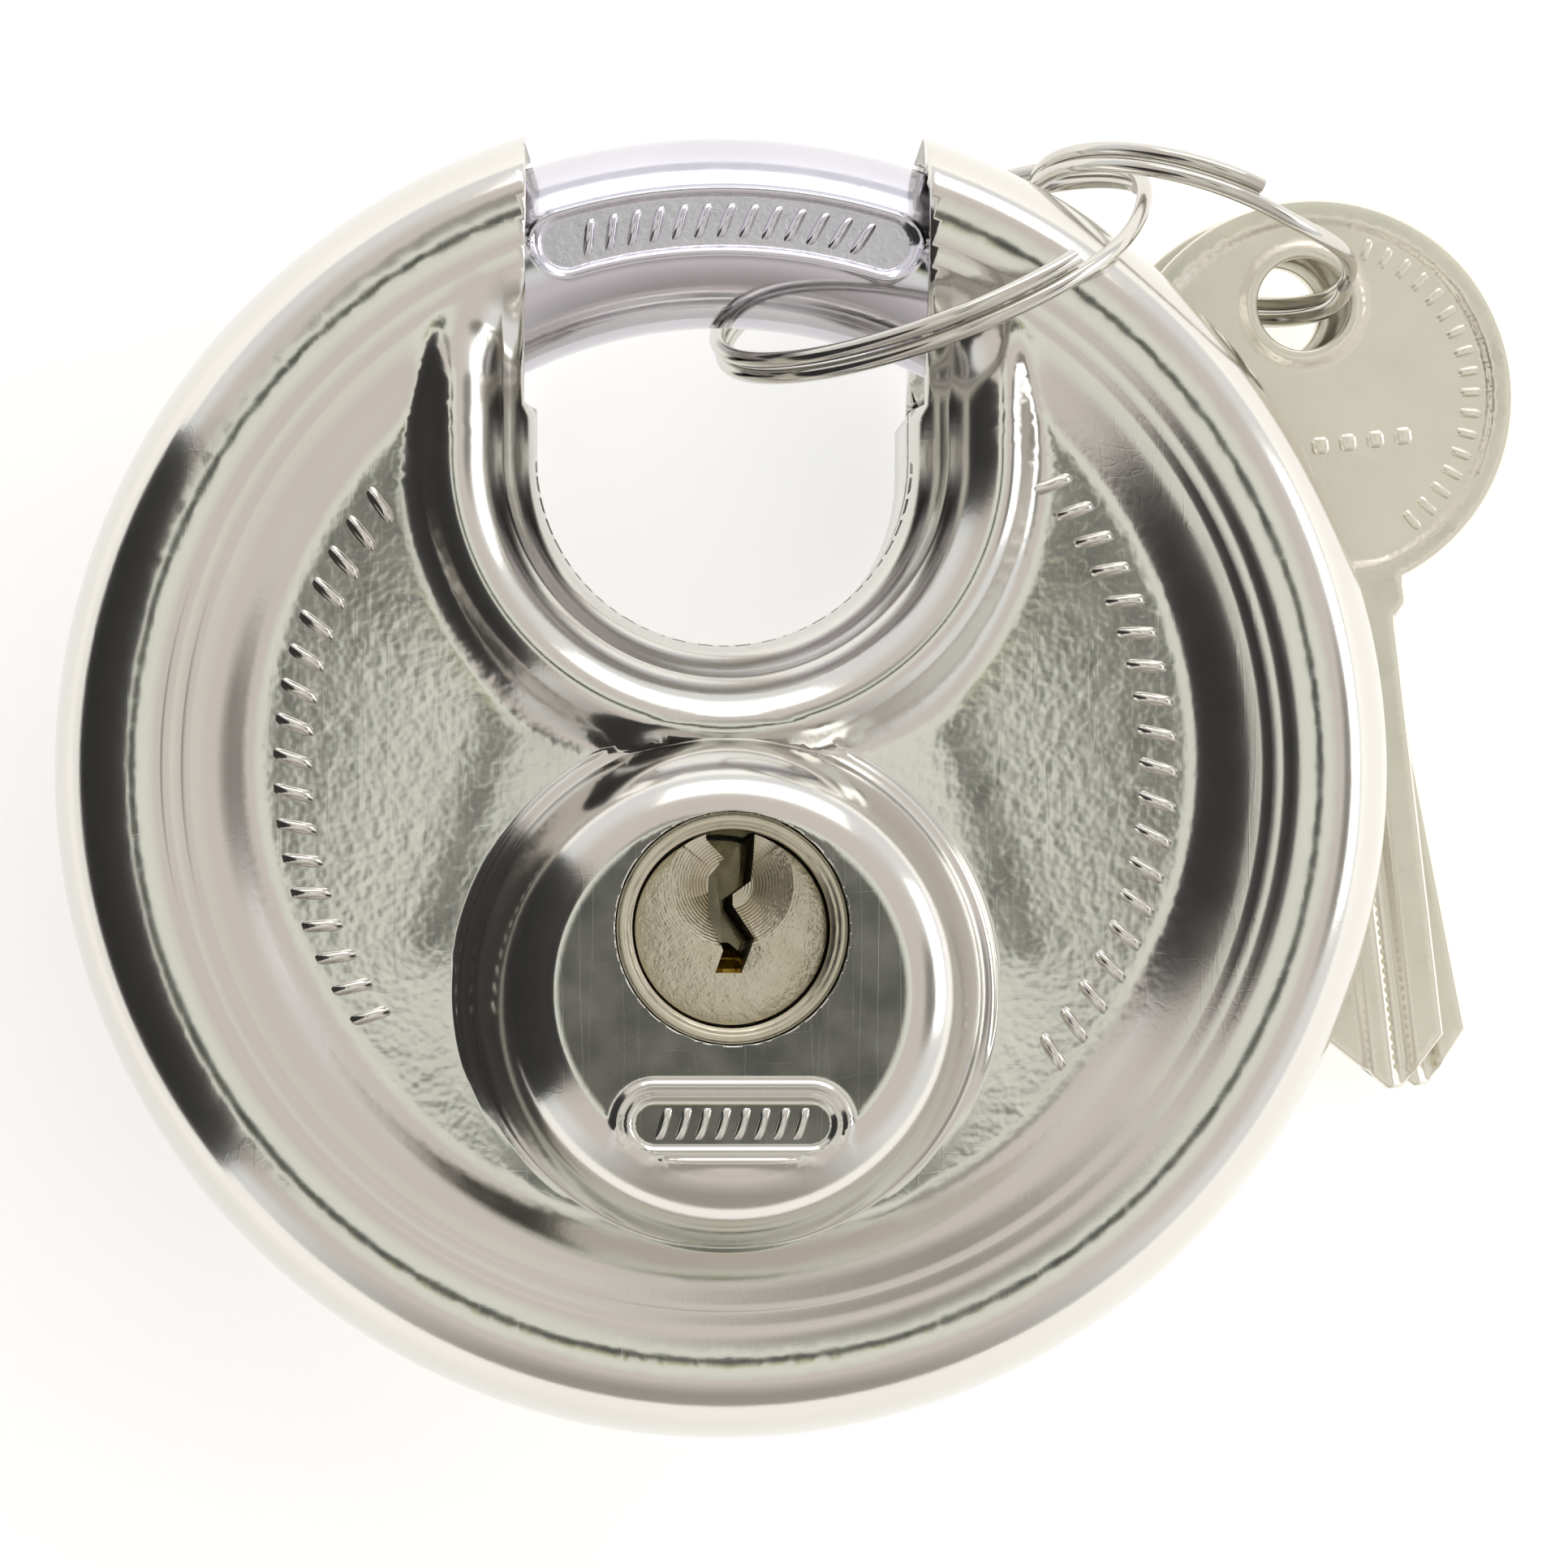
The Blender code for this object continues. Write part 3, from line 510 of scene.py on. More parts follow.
# %% Profiles of the front shell
rim_inner = smooth_profile([
    (0, PANEL), (23.0, PANEL), (23.8, 4.72), (24.6, 5.15), (25.4, 5.75), (26.3, 6.28), (27.2, 6.58),
    (28.05, 6.76), (28.2, 6.9), (29.1, 7.07), (29.25, 7.2), (30.2, 7.44), (31.0, 7.5), (33.0, 7.5),
], 0.09)
collar_outer = smooth_profile([
    (0, 7.25), (14.2, 7.25), (14.8, 7.1), (15.3, 6.6), (15.9, 5.75), (16.4, 5.1), (17.0, 4.7),
    (17.8, PANEL), (30.0, PANEL),
], 0.3)
throat_lip = smooth_profile([
    (9.0, 0.2), (9.82, 1.7), (10.1, 2.9), (10.7, 3.9), (11.3, 4.5), (11.66, 4.8), (11.74, 5.0),
    (12.3, 5.85), (13.0, 6.55), (13.8, 7.02), (14.5, 7.22), (15.2, 7.25), (20.0, 7.25),
], 0.07)
TOP = BOSS_TOP - 0.3
boss_profile = smooth_profile([
    (0, TOP), (9.15, TOP), (9.3, TOP - 0.06), (10.2, TOP - 0.35), (11.2, TOP - 1.1), (12.0, TOP - 2.3),
    (12.6, TOP - 3.9), (13.0, TOP - 5.6), (13.2, 5.6), (13.35, 5.36), (13.95, 5.26), (14.08, 5.1),
    (14.25, 4.0), (15.0, 0.0), (40.0, 0.0),
], 0.06)
print("boss top:", round(TOP, 2))

# %% [markdown]
# The frame under the keyhole is two fine ridges in the shape of a stadium, with a field
# sunk a little between them. All the forms are then put together, the higher one
# winning, and the panel's grain stops where the boss and the collar begin.

# %% Heights of the front shell
FRAME_Y = -18.45
FRAME_HALF = 3.95
FRAME_R = 1.95


def name_frame(x, y):
    """Two fine ridges in a stadium shape and the sunk field inside them."""
    along = np.maximum(np.abs(x) - FRAME_HALF, 0)
    edge = np.hypot(along, y - FRAME_Y) - FRAME_R
    ridge = 0.22 * np.exp(-((edge / 0.2) ** 2)) + 0.16 * np.exp(-(((edge + 0.55) / 0.13) ** 2))
    return ridge - 0.08 * smooth_step(-edge, 0.55, 0.85)


def front_height(x, y):
    radius = np.hypot(x, y)
    throat = throat_distance(x, y)
    upward = smooth_step(y, 20.0, 27.5)
    collar = (collar_outer(throat) - PANEL) * (1 - upward)
    formed = soft_max(rim_inner(radius) - PANEL, collar)
    inside = PANEL + soft_max(formed, panel_dish(x, y), 3.0)
    base = np.where(radius < RIM_CREST, inside, rim_flank(radius))
    drop = (7.25 - throat_lip(throat)) * (1 - smooth_step(y, 20.5, 25.5))
    base = np.maximum(base - drop, 0.2)
    boss = boss_profile(np.hypot(x, y - BOSS_Y))
    return np.maximum(base, boss) + name_frame(x, y)


def front_grain(x, y):
    """Where the pressed panel keeps its pebbles."""
    panel = 1 - smooth_step(np.hypot(x, y), 23.5, 26.0)
    off_boss = smooth_step(np.hypot(x, y - BOSS_Y), 14.1, 14.8)
    off_collar = smooth_step(throat_distance(x, y), 14.8, 17.0)
    return panel * off_boss * off_collar


print("panel height", float(front_height(np.array([-18.0]), np.array([0.0]))[0]))

# %% [markdown]
# The plan: circles along the rim, arcs round the throat, circles round the boss and a
# fine grid under the raised frame. Where two sets meet, one gives way to the other, so
# that no two points crowd together.

# %% Plan of a shell
FLANK = [RIM_CREST + (BODY_R - 0.03 - RIM_CREST) * math.sin(math.radians(t)) ** (1 / 1.1)
         for t in range(6, 84, 6)]
RIM_RINGS = FLANK + [31.0, 30.4, 29.8, 29.35, 29.22, 29.1, 28.7, 28.3, 28.18, 28.05, 27.7, 27.2,
                     26.7, 26.2, 25.7, 25.2, 24.7, 24.2, 23.7, 23.2, 22.6]
THROAT_LINES = [9.95, 10.15, 10.45, 10.85, 11.25, 11.55, 11.66, 11.74, 11.85, 12.1, 12.45, 12.9,
                13.4, 13.9, 14.4, 14.9, 15.4, 15.9, 16.4, 17.0, 17.6, 18.3]
BOSS_RINGS = [14.4, 14.25, 14.14, 14.02, 13.7, 13.38, 13.27, 13.2, 13.12, 13.02, 12.9, 12.7, 12.4,
              12.05, 11.6, 11.1, 10.6, 10.1, 9.65, 9.35, 9.2, 9.05, 8.7]
EDGE_R = FLANK[-1]
RIM_COUNT = 420
BOSS_COUNT = 200
HOLE_COUNT = 110


print("rings on the rim:", len(RIM_RINGS))

# %% [markdown]
# The outline in plan goes the long way round the rim from one horn to the other, then
# down the side of the mouth, over the small step and round the throat.

# %% Outline of a shell
def throat_line(offset, top, steps=110, rise_step=0.35):
    """A U about the throat: every offset has its points at the same angles and heights."""
    arc = np.linspace(0, -math.pi, steps)
    curve = np.stack([offset * np.cos(arc), THROAT_Y + offset * np.sin(arc)], 1)
    rise = np.arange(THROAT_Y + rise_step, top - rise_step / 2, rise_step)
    sides = [np.stack([np.full(len(rise), s * offset), rise], 1) for s in (1, -1)]
    return np.concatenate([sides[0][::-1], curve, sides[1]])


def shell_outline(spacing):
    """The shell's edge in plan: the long way round the rim, then down into the throat."""
    tip = math.asin(MOUTH_X / EDGE_R)
    rim = ring_points(EDGE_R, RIM_COUNT)
    rim = rim[(rim[:, 1] < 0) | (np.abs(rim[:, 0]) > MOUTH_X + 0.1)]
    rim = rim[np.argsort((np.arctan2(rim[:, 1], rim[:, 0]) - math.pi / 2 - tip) % (2 * math.pi))]
    corner = np.array([(-MOUTH_X, EDGE_R * math.cos(tip)), (MOUTH_X, EDGE_R * math.cos(tip))])
    side = np.arange(corner[0, 1] - spacing, MOUTH_Y + 0.2, -spacing)
    right = np.stack([np.full(len(side), MOUTH_X), side], 1)
    step = np.array([(MOUTH_X, MOUTH_Y), (THROAT_R, MOUTH_Y - 0.25)])
    throat = throat_line(THROAT_R, MOUTH_Y - 0.3)
    mirror = np.array([-1, 1])
    sides = [corner[1:], right, step, throat, step[::-1] * mirror, right[::-1] * mirror, corner[:1]]
    return np.concatenate([rim] + sides)


def in_body(p):
    x, y = p[:, 0], p[:, 1]
    slot = (np.abs(x) < MOUTH_X) & (y > MOUTH_Y)
    return (np.hypot(x, y) < EDGE_R) & (throat_distance(x, y) > THROAT_R - 0.02) & ~slot


print("outline points:", len(shell_outline(0.4)))

# %% [markdown]
# The points inside the outline follow the pressed features. The flat under the raised
# frame has its own fine grid, because the frame's ridges are only 0.2 mm wide.

# %% Points inside the outline
def under_frame(p):
    """The flat round the raised frame, which has its own fine grid."""
    along = np.maximum(np.abs(p[:, 0]) - FRAME_HALF, 0)
    near = np.hypot(along, p[:, 1] - FRAME_Y) < FRAME_R + 0.7
    return near & (np.hypot(p[:, 0], p[:, 1] - BOSS_Y) < 9.15)


def off_hole(p):
    return np.hypot(p[:, 0] - PLUG_XY.x, p[:, 1] - PLUG_XY.y) > HOLE_R + 0.55


def plan_points(boss):
    """All the points inside the outline; boss says whether the boss is there."""
    rim = np.concatenate([ring_points(r, RIM_COUNT) for r in RIM_RINGS])
    lines = np.concatenate([throat_line(r, 25.0) for r in THROAT_LINES])
    fill = grid_points((-22.4, -22.4), (22.4, 22.4), 0.62)
    near = throat_distance(lines[:, 0], lines[:, 1])
    lines = lines[(near < 13.8) | (np.hypot(lines[:, 0], lines[:, 1]) < 22.2)]
    rim = rim[~((throat_distance(rim[:, 0], rim[:, 1]) < 13.7) & (rim[:, 1] < 25.3))]
    off_throat = throat_distance(fill[:, 0], fill[:, 1]) > 18.6
    fill = fill[(np.hypot(fill[:, 0], fill[:, 1]) < 22.0) & off_throat]
    sets = [rim, lines, fill]
    if boss:
        sets = [s[np.hypot(s[:, 0], s[:, 1] - BOSS_Y) > 14.6] for s in sets]
        rings = np.concatenate([ring_points(r, BOSS_COUNT, (0, BOSS_Y)) for r in BOSS_RINGS])
        top = grid_points((-8.6, BOSS_Y - 8.6), (8.6, BOSS_Y + 8.6), 0.6)
        top = top[np.hypot(top[:, 0], top[:, 1] - BOSS_Y) < 8.5]
        lip = [ring_points(HOLE_R + d, HOLE_COUNT, PLUG_XY) for d in (0.07, 0.16, 0.3, 0.5)]
        fine = grid_points((-7.2, FRAME_Y - 3.1), (7.2, FRAME_Y + 3.1), 0.15)
        fine = fine[under_frame(fine) & off_hole(fine)]
        sets += [s[off_hole(s) & ~under_frame(s)] for s in (rings, top)] + lip + [fine]
    points = np.concatenate(sets)
    x, y = points[:, 0], points[:, 1]
    clear = (np.hypot(x, y) < EDGE_R - 0.05) & (throat_distance(x, y) > THROAT_R + 0.08)
    mouth = (np.abs(x) < MOUTH_X + 0.12) & (y > MOUTH_Y - 0.4)
    return points[clear & ~mouth]


print("points inside the outline:", len(plan_points(True)))

# %% [markdown]
# The press leaves the sheet open at its edge, turned straight down. The rows of the
# last quarter turn and of the throat's wall are added there, then the inner face goes
# 1.3 mm inside the outer one and the cut edges join them.

# %% Pressing a shell
def press_shell(name, height, boss, side):
    """The outer face from plan and height, its walls down to the seam, and its thickness."""
    loops = [shell_outline(0.4)]
    if boss:
        loops.append(ring_points(HOLE_R, HOLE_COUNT, PLUG_XY))

    def inside(p):
        from_hole = np.hypot(p[:, 0] - PLUG_XY.x, p[:, 1] - PLUG_XY.y) - HOLE_R
        return in_body(p) & ((from_hole > -0.02) | (not boss))

    plan, faces = triangulate(plan_points(boss), loops, inside)
    x, y = plan[:, 0], plan[:, 1]
    points = np.stack([x, y, height(x, y)], 1)
    on_rim = np.hypot(x, y) > EDGE_R - 0.02
    points, faces, on_rim = rim_wall(points, faces, on_rim)
    near_throat = throat_distance(points[:, 0], points[:, 1]) < THROAT_R + 0.02
    on_throat = near_throat & (points[:, 1] < MOUTH_Y)
    points, faces = throat_wall(points, faces, on_throat)
    points, faces = thicken(points, faces, SHEET, flat_edges)
    points[:, 2] = MID + side * points[:, 2]
    if side < 0:
        faces = faces[:, ::-1]
    return new_mesh(name, points, faces, stainless), points


def rim_wall(points, faces, chosen):
    """The last of the rim's round, where it turns straight down to the weld."""
    for t in (83, 86.5, 89.7):
        radius = RIM_CREST + (BODY_R - 0.03 - RIM_CREST) * math.sin(math.radians(t)) ** (1 / 1.1)
        level = max(RIM_HALF * math.cos(math.radians(t)) ** (1 / 1.1), SEAM)

        def moved(old):
            scale = radius / np.hypot(old[:, 0], old[:, 1])
            return np.stack([old[:, 0] * scale, old[:, 1] * scale, np.full(len(old), level)], 1)

        points, faces, chosen = add_row(points, faces, chosen, moved)
    return points, faces, chosen


def throat_wall(points, faces, chosen):
    for part in (0.6, 0.3, 0.0):

        def moved(old):
            return np.stack([old[:, 0], old[:, 1], SEAM + (old[:, 2] - SEAM) * part], 1)

        points, faces, chosen = add_row(points, faces, chosen, moved)
    return points, faces


def flat_edges(points, normal):
    """Cut edges stay in their own planes when the sheet gets its thickness."""
    normal = normal.copy()
    x, y, z = points.T
    at_seam = z < SEAM + 0.03
    at_mouth = (np.abs(np.abs(x) - MOUTH_X) < 0.02) & (y > MOUTH_Y - 0.02)
    at_hole = np.abs(np.hypot(x - PLUG_XY.x, y - PLUG_XY.y) - HOLE_R) < 0.02
    normal[at_seam, 2] = 0
    normal[at_mouth, 0] = 0
    normal[at_hole & (z > PANEL + 1), :2] = 0
    length = np.linalg.norm(normal, axis=1, keepdims=True)
    return normal / np.maximum(length, 0.2)


print("press ready")

# %% [markdown]
# The front shell comes out of that press with the boss and the hole for the cylinder.
# The mask for the pebbled grain goes on its points.

# %% Front shell
front_shell, front_points = press_shell("pressed_front_shell", front_height, True, 1)
attribute(front_shell, "pebble", front_grain(front_points[:, 0], front_points[:, 1]))
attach(front_shell, "casing")
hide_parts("front_shell")
count(front_shell)

# %% [markdown]
# ## The rear shell
# The back is the same pressing without the boss. Its middle is drawn out to a flat
# crescent, which is what the padlock lies on, and it turns over softly into the throat.

# %% Rear shell
rear_disc = smooth_profile([
    (0, PLATEAU), (22.3, PLATEAU), (23.0, 13.9), (23.7, 13.3), (24.5, 12.1), (25.4, 10.3), (26.4, 8.6),
    (27.2, 7.7), (28.1, 7.2), (29.2, 7.2), (30.2, 7.42), (31.0, 7.5), (33.0, 7.5),
], 0.2)
rear_lip = smooth_profile([
    (9.0, 9.0), (9.82, 11.4), (10.1, 12.6), (10.6, 13.4), (11.2, 13.82), (12.0, 14.0), (30.0, 14.0),
], 0.08)


def rear_height(x, y):
    radius = np.hypot(x, y)
    base = np.where(radius < RIM_CREST, rear_disc(radius), rim_flank(radius))
    drop = (14.0 - rear_lip(throat_distance(x, y))) * (1 - smooth_step(y, 20.5, 25.0))
    return np.maximum(base - drop, SEAM)


rear_shell, rear_points = press_shell("pressed_rear_shell", rear_height, False, -1)
attribute(rear_shell, "pebble", np.zeros(len(rear_points)))
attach(rear_shell, "casing")
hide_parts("rear_shell")
count(rear_shell)

# %% [markdown]
# ## The weld
# The two shells are welded edge to edge. The bead is a low round that ripples where the
# arc stepped along, so it is a tube along the seam whose height varies with distance.

# %% Weld bead
def tube(path, across, up, half_width, half_height, sides, closed=False):
    """A rounded section carried along a path, as points and faces."""
    number = len(path)
    turn = np.linspace(0, 2 * math.pi, sides, endpoint=False)
    half_width = np.broadcast_to(half_width, (number,))[:, None, None]
    half_height = np.broadcast_to(half_height, (number,))[:, None, None]
    points = (path[:, None] + across[:, None] * half_width * np.cos(turn)[None, :, None]
              + up[:, None] * half_height * np.sin(turn)[None, :, None]).reshape(-1, 3)
    faces = []
    for i in range(number if closed else number - 1):
        k = (i + 1) % number
        for j in range(sides):
            m = (j + 1) % sides
            faces.append((i * sides + j, i * sides + m, k * sides + m, k * sides + j))
    if not closed:
        faces.append(tuple(range(sides))[::-1])
        faces.append(tuple((number - 1) * sides + j for j in range(sides)))
    return points, faces


def weld_bead(name, path, outward, wave):
    step = np.concatenate([[0], np.cumsum(np.linalg.norm(np.diff(path, axis=0), axis=1))])
    ripple = 0.36 + wave * np.cos(step * 2 * math.pi / 0.8)
    up = np.tile([0.0, 0.0, 1.0], (len(path), 1))
    points, faces = tube(path, outward, up, ripple - 0.02, ripple, 10)
    bead = face_out(new_mesh(name, points, faces, weld_metal))
    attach(bead, "casing")
    return count(bead)


print("weld helpers ready")

# %% [markdown]
# One bead runs round the rim from horn to horn, and one round the throat.

# %% The two beads
tip = math.asin(MOUTH_X / BODY_R) + 0.02
turn = np.linspace(math.pi / 2 + tip, math.pi / 2 - tip + 2 * math.pi, 900)
outward = np.stack([np.cos(turn), np.sin(turn), 0 * turn], 1)
weld_bead("rim_weld", outward * (BODY_R - 0.4) + [0, 0, MID], outward, 0.03)
line = throat_line(THROAT_R + 0.31, MOUTH_Y - 0.4, 240, 0.14)
centre = np.stack([0 * line[:, 0], np.maximum(line[:, 1], THROAT_Y)], 1)
inward = (centre - line) / np.linalg.norm(centre - line, axis=1, keepdims=True)
inward = np.concatenate([inward, np.zeros((len(line), 1))], 1)
weld_bead("throat_weld", np.concatenate([line, np.full((len(line), 1), MID)], 1), inward, 0.005)

# %% [markdown]
# ## Raised marks in place of lettering
# Makers emboss words along the panel, on the bar and in the frame under the keyhole.
# Here plain soft dashes and lozenges stand there instead. They repeat along an arc or
# a row, which is work for Geometry Nodes: a small node tree places copies of one mark,
# and the result is turned into a plain mesh.

# %% Marks by Geometry Nodes
def soft_mark(name, length, width, height, slant=0.0):
    """One raised dash: a low rounded ridge with a flared foot, a few dozen faces."""
    rings = [(1.0, 0.0), (0.85, 0.4), (0.6, 0.8), (0.25, 1.0)]
    sides = 12
    points, faces = [], []
    for scale, rise in rings:
        for i in range(sides):
            a = 2 * math.pi * (i + 0.5) / sides
            x = math.copysign(abs(math.cos(a)) ** 0.5, math.cos(a)) * length / 2 * scale
            y = math.copysign(abs(math.sin(a)) ** 0.7, math.sin(a)) * width / 2 * scale
            points.append((x + slant * y, y, height * rise))
    for k in range(len(rings) - 1):
        for i in range(sides):
            j = (i + 1) % sides
            faces.append((k * sides + i, k * sides + j, (k + 1) * sides + j, (k + 1) * sides + i))
    faces.append(tuple((len(rings) - 1) * sides + i for i in range(sides)))
    return new_mesh(name, points, faces, stainless)


print("mark ready")

# %% [markdown]
# The tree lays copies along an arc, turned along it, or in a straight row. Its radius,
# start, sweep, count, mark and finish are inputs, so one tree serves every set.

# %% Node trees for the marks
def marks_tree(name, kind):
    """Copies of a mark along an arc, or along a straight row."""
    tree = bpy.data.node_groups.new(name, "GeometryNodeTree")
    face = tree.interface
    face.new_socket("Geometry", in_out="INPUT", socket_type="NodeSocketGeometry")
    face.new_socket("Geometry", in_out="OUTPUT", socket_type="NodeSocketGeometry")
    for label, socket in (("Radius", "Float"), ("Start", "Float"), ("Sweep", "Float"), ("Count", "Int")):
        face.new_socket(label, in_out="INPUT", socket_type="NodeSocket" + socket)
    face.new_socket("Mark", in_out="INPUT", socket_type="NodeSocketObject")
    face.new_socket("Finish", in_out="INPUT", socket_type="NodeSocketMaterial")
    given = tree.nodes.new("NodeGroupInput").outputs
    mark = add(tree, "GeometryNodeObjectInfo", {"Object": given["Mark"]}).outputs["Geometry"]
    if kind == "arc":
        arc = add(
            tree, "GeometryNodeCurveArc",
            {"Resolution": 64, "Radius": given["Radius"], "Start Angle": given["Start"],
             "Sweep Angle": given["Sweep"]},
        )
        spots = add(tree, "GeometryNodeCurveToPoints", {"Curve": arc, "Count": given["Count"]})
        along = {"Vector": spots.outputs["Tangent"]}
        turned = add(tree, "FunctionNodeAlignRotationToVector", along, axis="X")
        put = {"Points": spots.outputs["Points"], "Rotation": turned.outputs["Rotation"]}
    else:
        step = add(tree, "ShaderNodeCombineXYZ", {"X": given["Sweep"]})
        begin = add(tree, "ShaderNodeCombineXYZ", {"X": given["Start"]})
        row = add(
            tree, "GeometryNodeMeshLine",
            {"Count": given["Count"], "Start Location": begin.outputs[0], "Offset": step.outputs[0]},
        )
        put = {"Points": row.outputs["Mesh"]}
    copies = add(tree, "GeometryNodeInstanceOnPoints", {**put, "Instance": mark})
    real = add(tree, "GeometryNodeRealizeInstances", {"Geometry": copies.outputs["Instances"]})
    done = add(tree, "GeometryNodeSetMaterial", {"Geometry": real.outputs[0], "Material": given["Finish"]})
    add(tree, "NodeGroupOutput", {"Geometry": done.outputs["Geometry"]})
    return tree


ARC_TREE = marks_tree("marks_on_an_arc", "arc")
ROW_TREE = marks_tree("marks_in_a_row", "row")
print("trees:", ARC_TREE.name, ROW_TREE.name)

# %% [markdown]
# A bare object runs a tree once and keeps the plain mesh. The marks on the panel are
# then dropped onto its curved surface.

# %% Growing pieces from a tree
def grow(name, tree, place, **values):
    """Runs the tree on a bare object, keeps its plain mesh and puts it in place."""
    piece = bpy.data.objects.new(name, bpy.data.meshes.new(name))
    bpy.context.scene.collection.objects.link(piece)
    modifier = piece.modifiers.new("Rule", "NODES")
    modifier.node_group = tree
    for item in tree.interface.items_tree:
        if item.in_out == "INPUT" and item.name in values:
            modifier[item.identifier] = values[item.name]
    graph = bpy.context.evaluated_depsgraph_get()
    plain = bpy.data.meshes.new_from_object(piece.evaluated_get(graph))
    piece.modifiers.remove(modifier)
    piece.data = plain
    plain.transform(Matrix(place))
    return piece


def lay_marks(name, tree, mark, place, body, slot, finish, drape=None, **values):
    """Grows a set of marks. With drape, a height over the plan, they follow that surface."""
    piece = grow(name, tree, place, Mark=mark, Finish=finish, **values)
    plain = piece.data
    if drape:
        for vertex in plain.vertices:
            x, y = (np.array([c / MM]) for c in vertex.co.xy)
            vertex.co.z += float(drape(x, y)[0]) * MM
    plain.shade_smooth()
    bpy.data.objects.remove(mark)
    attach(piece, body)
    return count(piece)


def lifted(x, y, z):
    return Matrix.Translation(Vector((x, y, z)) * MM)


print("marks can be laid")

# %% [markdown]
# Seventeen and nineteen dashes stand where words would run along the panel's edge, and
# eight in the raised frame.

# %% Marks on the front shell
MARK_R = 22.5 * MM
for side, start, sweep, number in (("left", 143, 72, 17), ("right", -41, 82, 19)):
    lay_marks(
        f"panel_marks_{side}", ARC_TREE, soft_mark("panel_mark", 0.75, 2.1, 0.42, 0.3),
        lifted(0, 0, MID - 0.04), "casing", "shell_stainless", stainless, drape=front_height,
        Radius=MARK_R, Start=math.radians(start), Sweep=math.radians(sweep), Count=number,
    )
lay_marks(
    "frame_marks", ROW_TREE, soft_mark("frame_mark", 0.55, 1.7, 0.2, 0.3),
    lifted(0, FRAME_Y, MID + TOP - 0.1), "casing", "shell_stainless", stainless,
    Start=-3.5 * MM, Sweep=1.0 * MM, Count=8,
)

# %% [markdown]
# ## The shackle
# A 10 mm bar bent to an arc and plated. A die has pressed a flat panel with a raised
# border on its front, rough inside like a casting. The bar's surface is a grid of
# stations along the arc and steps round the section. Inside the border the height is
# cut down to the flat.

# %% Shackle bar
BAR_R = 5.0
BAR_CENTRE = 28.35
FREE_END, TAIL_END = 122.0, -75.0
BADGE_R, BADGE_HALF_DEG, BADGE_HALF = 28.55, 17.0, 1.75
BADGE_FLAT = 4.62


def badge_edge(radius, degrees):
    """Distance to the border, negative inside, with round ends."""
    past_half = np.radians(np.abs(degrees - 90) - BADGE_HALF_DEG)
    along = np.maximum(past_half * BADGE_R, 0)
    return np.hypot(along, radius - BADGE_R) - BADGE_HALF


def bar_section():
    """Angles round the section, close together where the panel is pressed."""
    front = np.linspace(42, 138, 110)
    rest = np.linspace(138, 402, 56)[1:-1]
    return np.radians(np.concatenate([front, rest]))


def pressed_level(radius, degrees, level):
    """The round bar's height, cut down to the flat and bordered where the die pressed."""
    edge = badge_edge(radius, degrees)
    border = 0.13 * np.exp(-(((edge + 0.1) / 0.2) ** 2))
    inside = smooth_step(-edge, -0.12, 0.12)
    sunk = BADGE_FLAT - 0.16 * smooth_step(-edge, 0.28, 0.5)
    pressed = level * (1 - inside) + np.minimum(level, sunk) * inside + border
    return np.where(level > 0, pressed, level)


def bar_rows():
    """The sections along the arc, with two smaller ones that round each end."""
    dense = np.linspace(112.75, 67.25, 240)
    stations = np.concatenate([np.linspace(FREE_END, 113, 10), dense, np.linspace(67, TAIL_END, 96)])
    degrees, around = np.meshgrid(stations, bar_section(), indexing="ij")
    radius = BAR_CENTRE + BAR_R * np.cos(around)
    level = pressed_level(radius, degrees, BAR_R * np.sin(around))
    a = np.radians(degrees)
    grid = np.stack([radius * np.cos(a), radius * np.sin(a), MID + level], -1)
    rows = list(grid[1:-1])
    for index, sign in ((0, 1), (-1, -1)):
        middle = grid[index].mean(axis=0)
        tangent = np.array([-math.sin(a[index, 0]), math.cos(a[index, 0]), 0])
        ring = middle + (grid[index] - middle) * 0.96
        cap = middle + (grid[index] - middle) * 0.86 + tangent * sign * 0.45
        rows = [cap, ring] + rows if index == 0 else rows + [ring, cap]
    return rows


def make_bar():
    rows = bar_rows()
    width = len(rows[0])
    faces = []
    for i in range(len(rows) - 1):
        for j in range(width):
            m = (j + 1) % width
            faces.append((i * width + j, i * width + m, (i + 1) * width + m, (i + 1) * width + j))
    faces.append(tuple(range(width)))
    faces.append(tuple((len(rows) - 1) * width + j for j in range(width))[::-1])
    points = np.concatenate(rows)
    bar = face_out(new_mesh("hardened_shackle", points, faces, chrome))
    radius = np.hypot(points[:, 0], points[:, 1])
    degrees = np.degrees(np.arctan2(points[:, 1], points[:, 0]))
    rough = smooth_step(-badge_edge(radius, degrees), 0.2, 0.45) * (points[:, 2] > MID + 3)
    attribute(bar, "cast", rough)
    return bar


print("bar helpers ready")

# %% [markdown]
# The bar goes on the shackle's body, and a row of dashes stands in its sunk panel.

# %% Shackle and its marks
shackle = make_bar()
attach(shackle, "shackle")
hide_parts("shackle")
count(shackle)
lay_marks(
    "shackle_marks", ARC_TREE, soft_mark("shackle_mark", 0.6, 1.9, 0.24, 0.35),
    lifted(0, 0, MID + BADGE_FLAT - 0.18), "shackle", "shackle_chrome", chrome,
    Radius=BADGE_R * MM, Start=math.radians(75.5), Sweep=math.radians(29), Count=13,
)
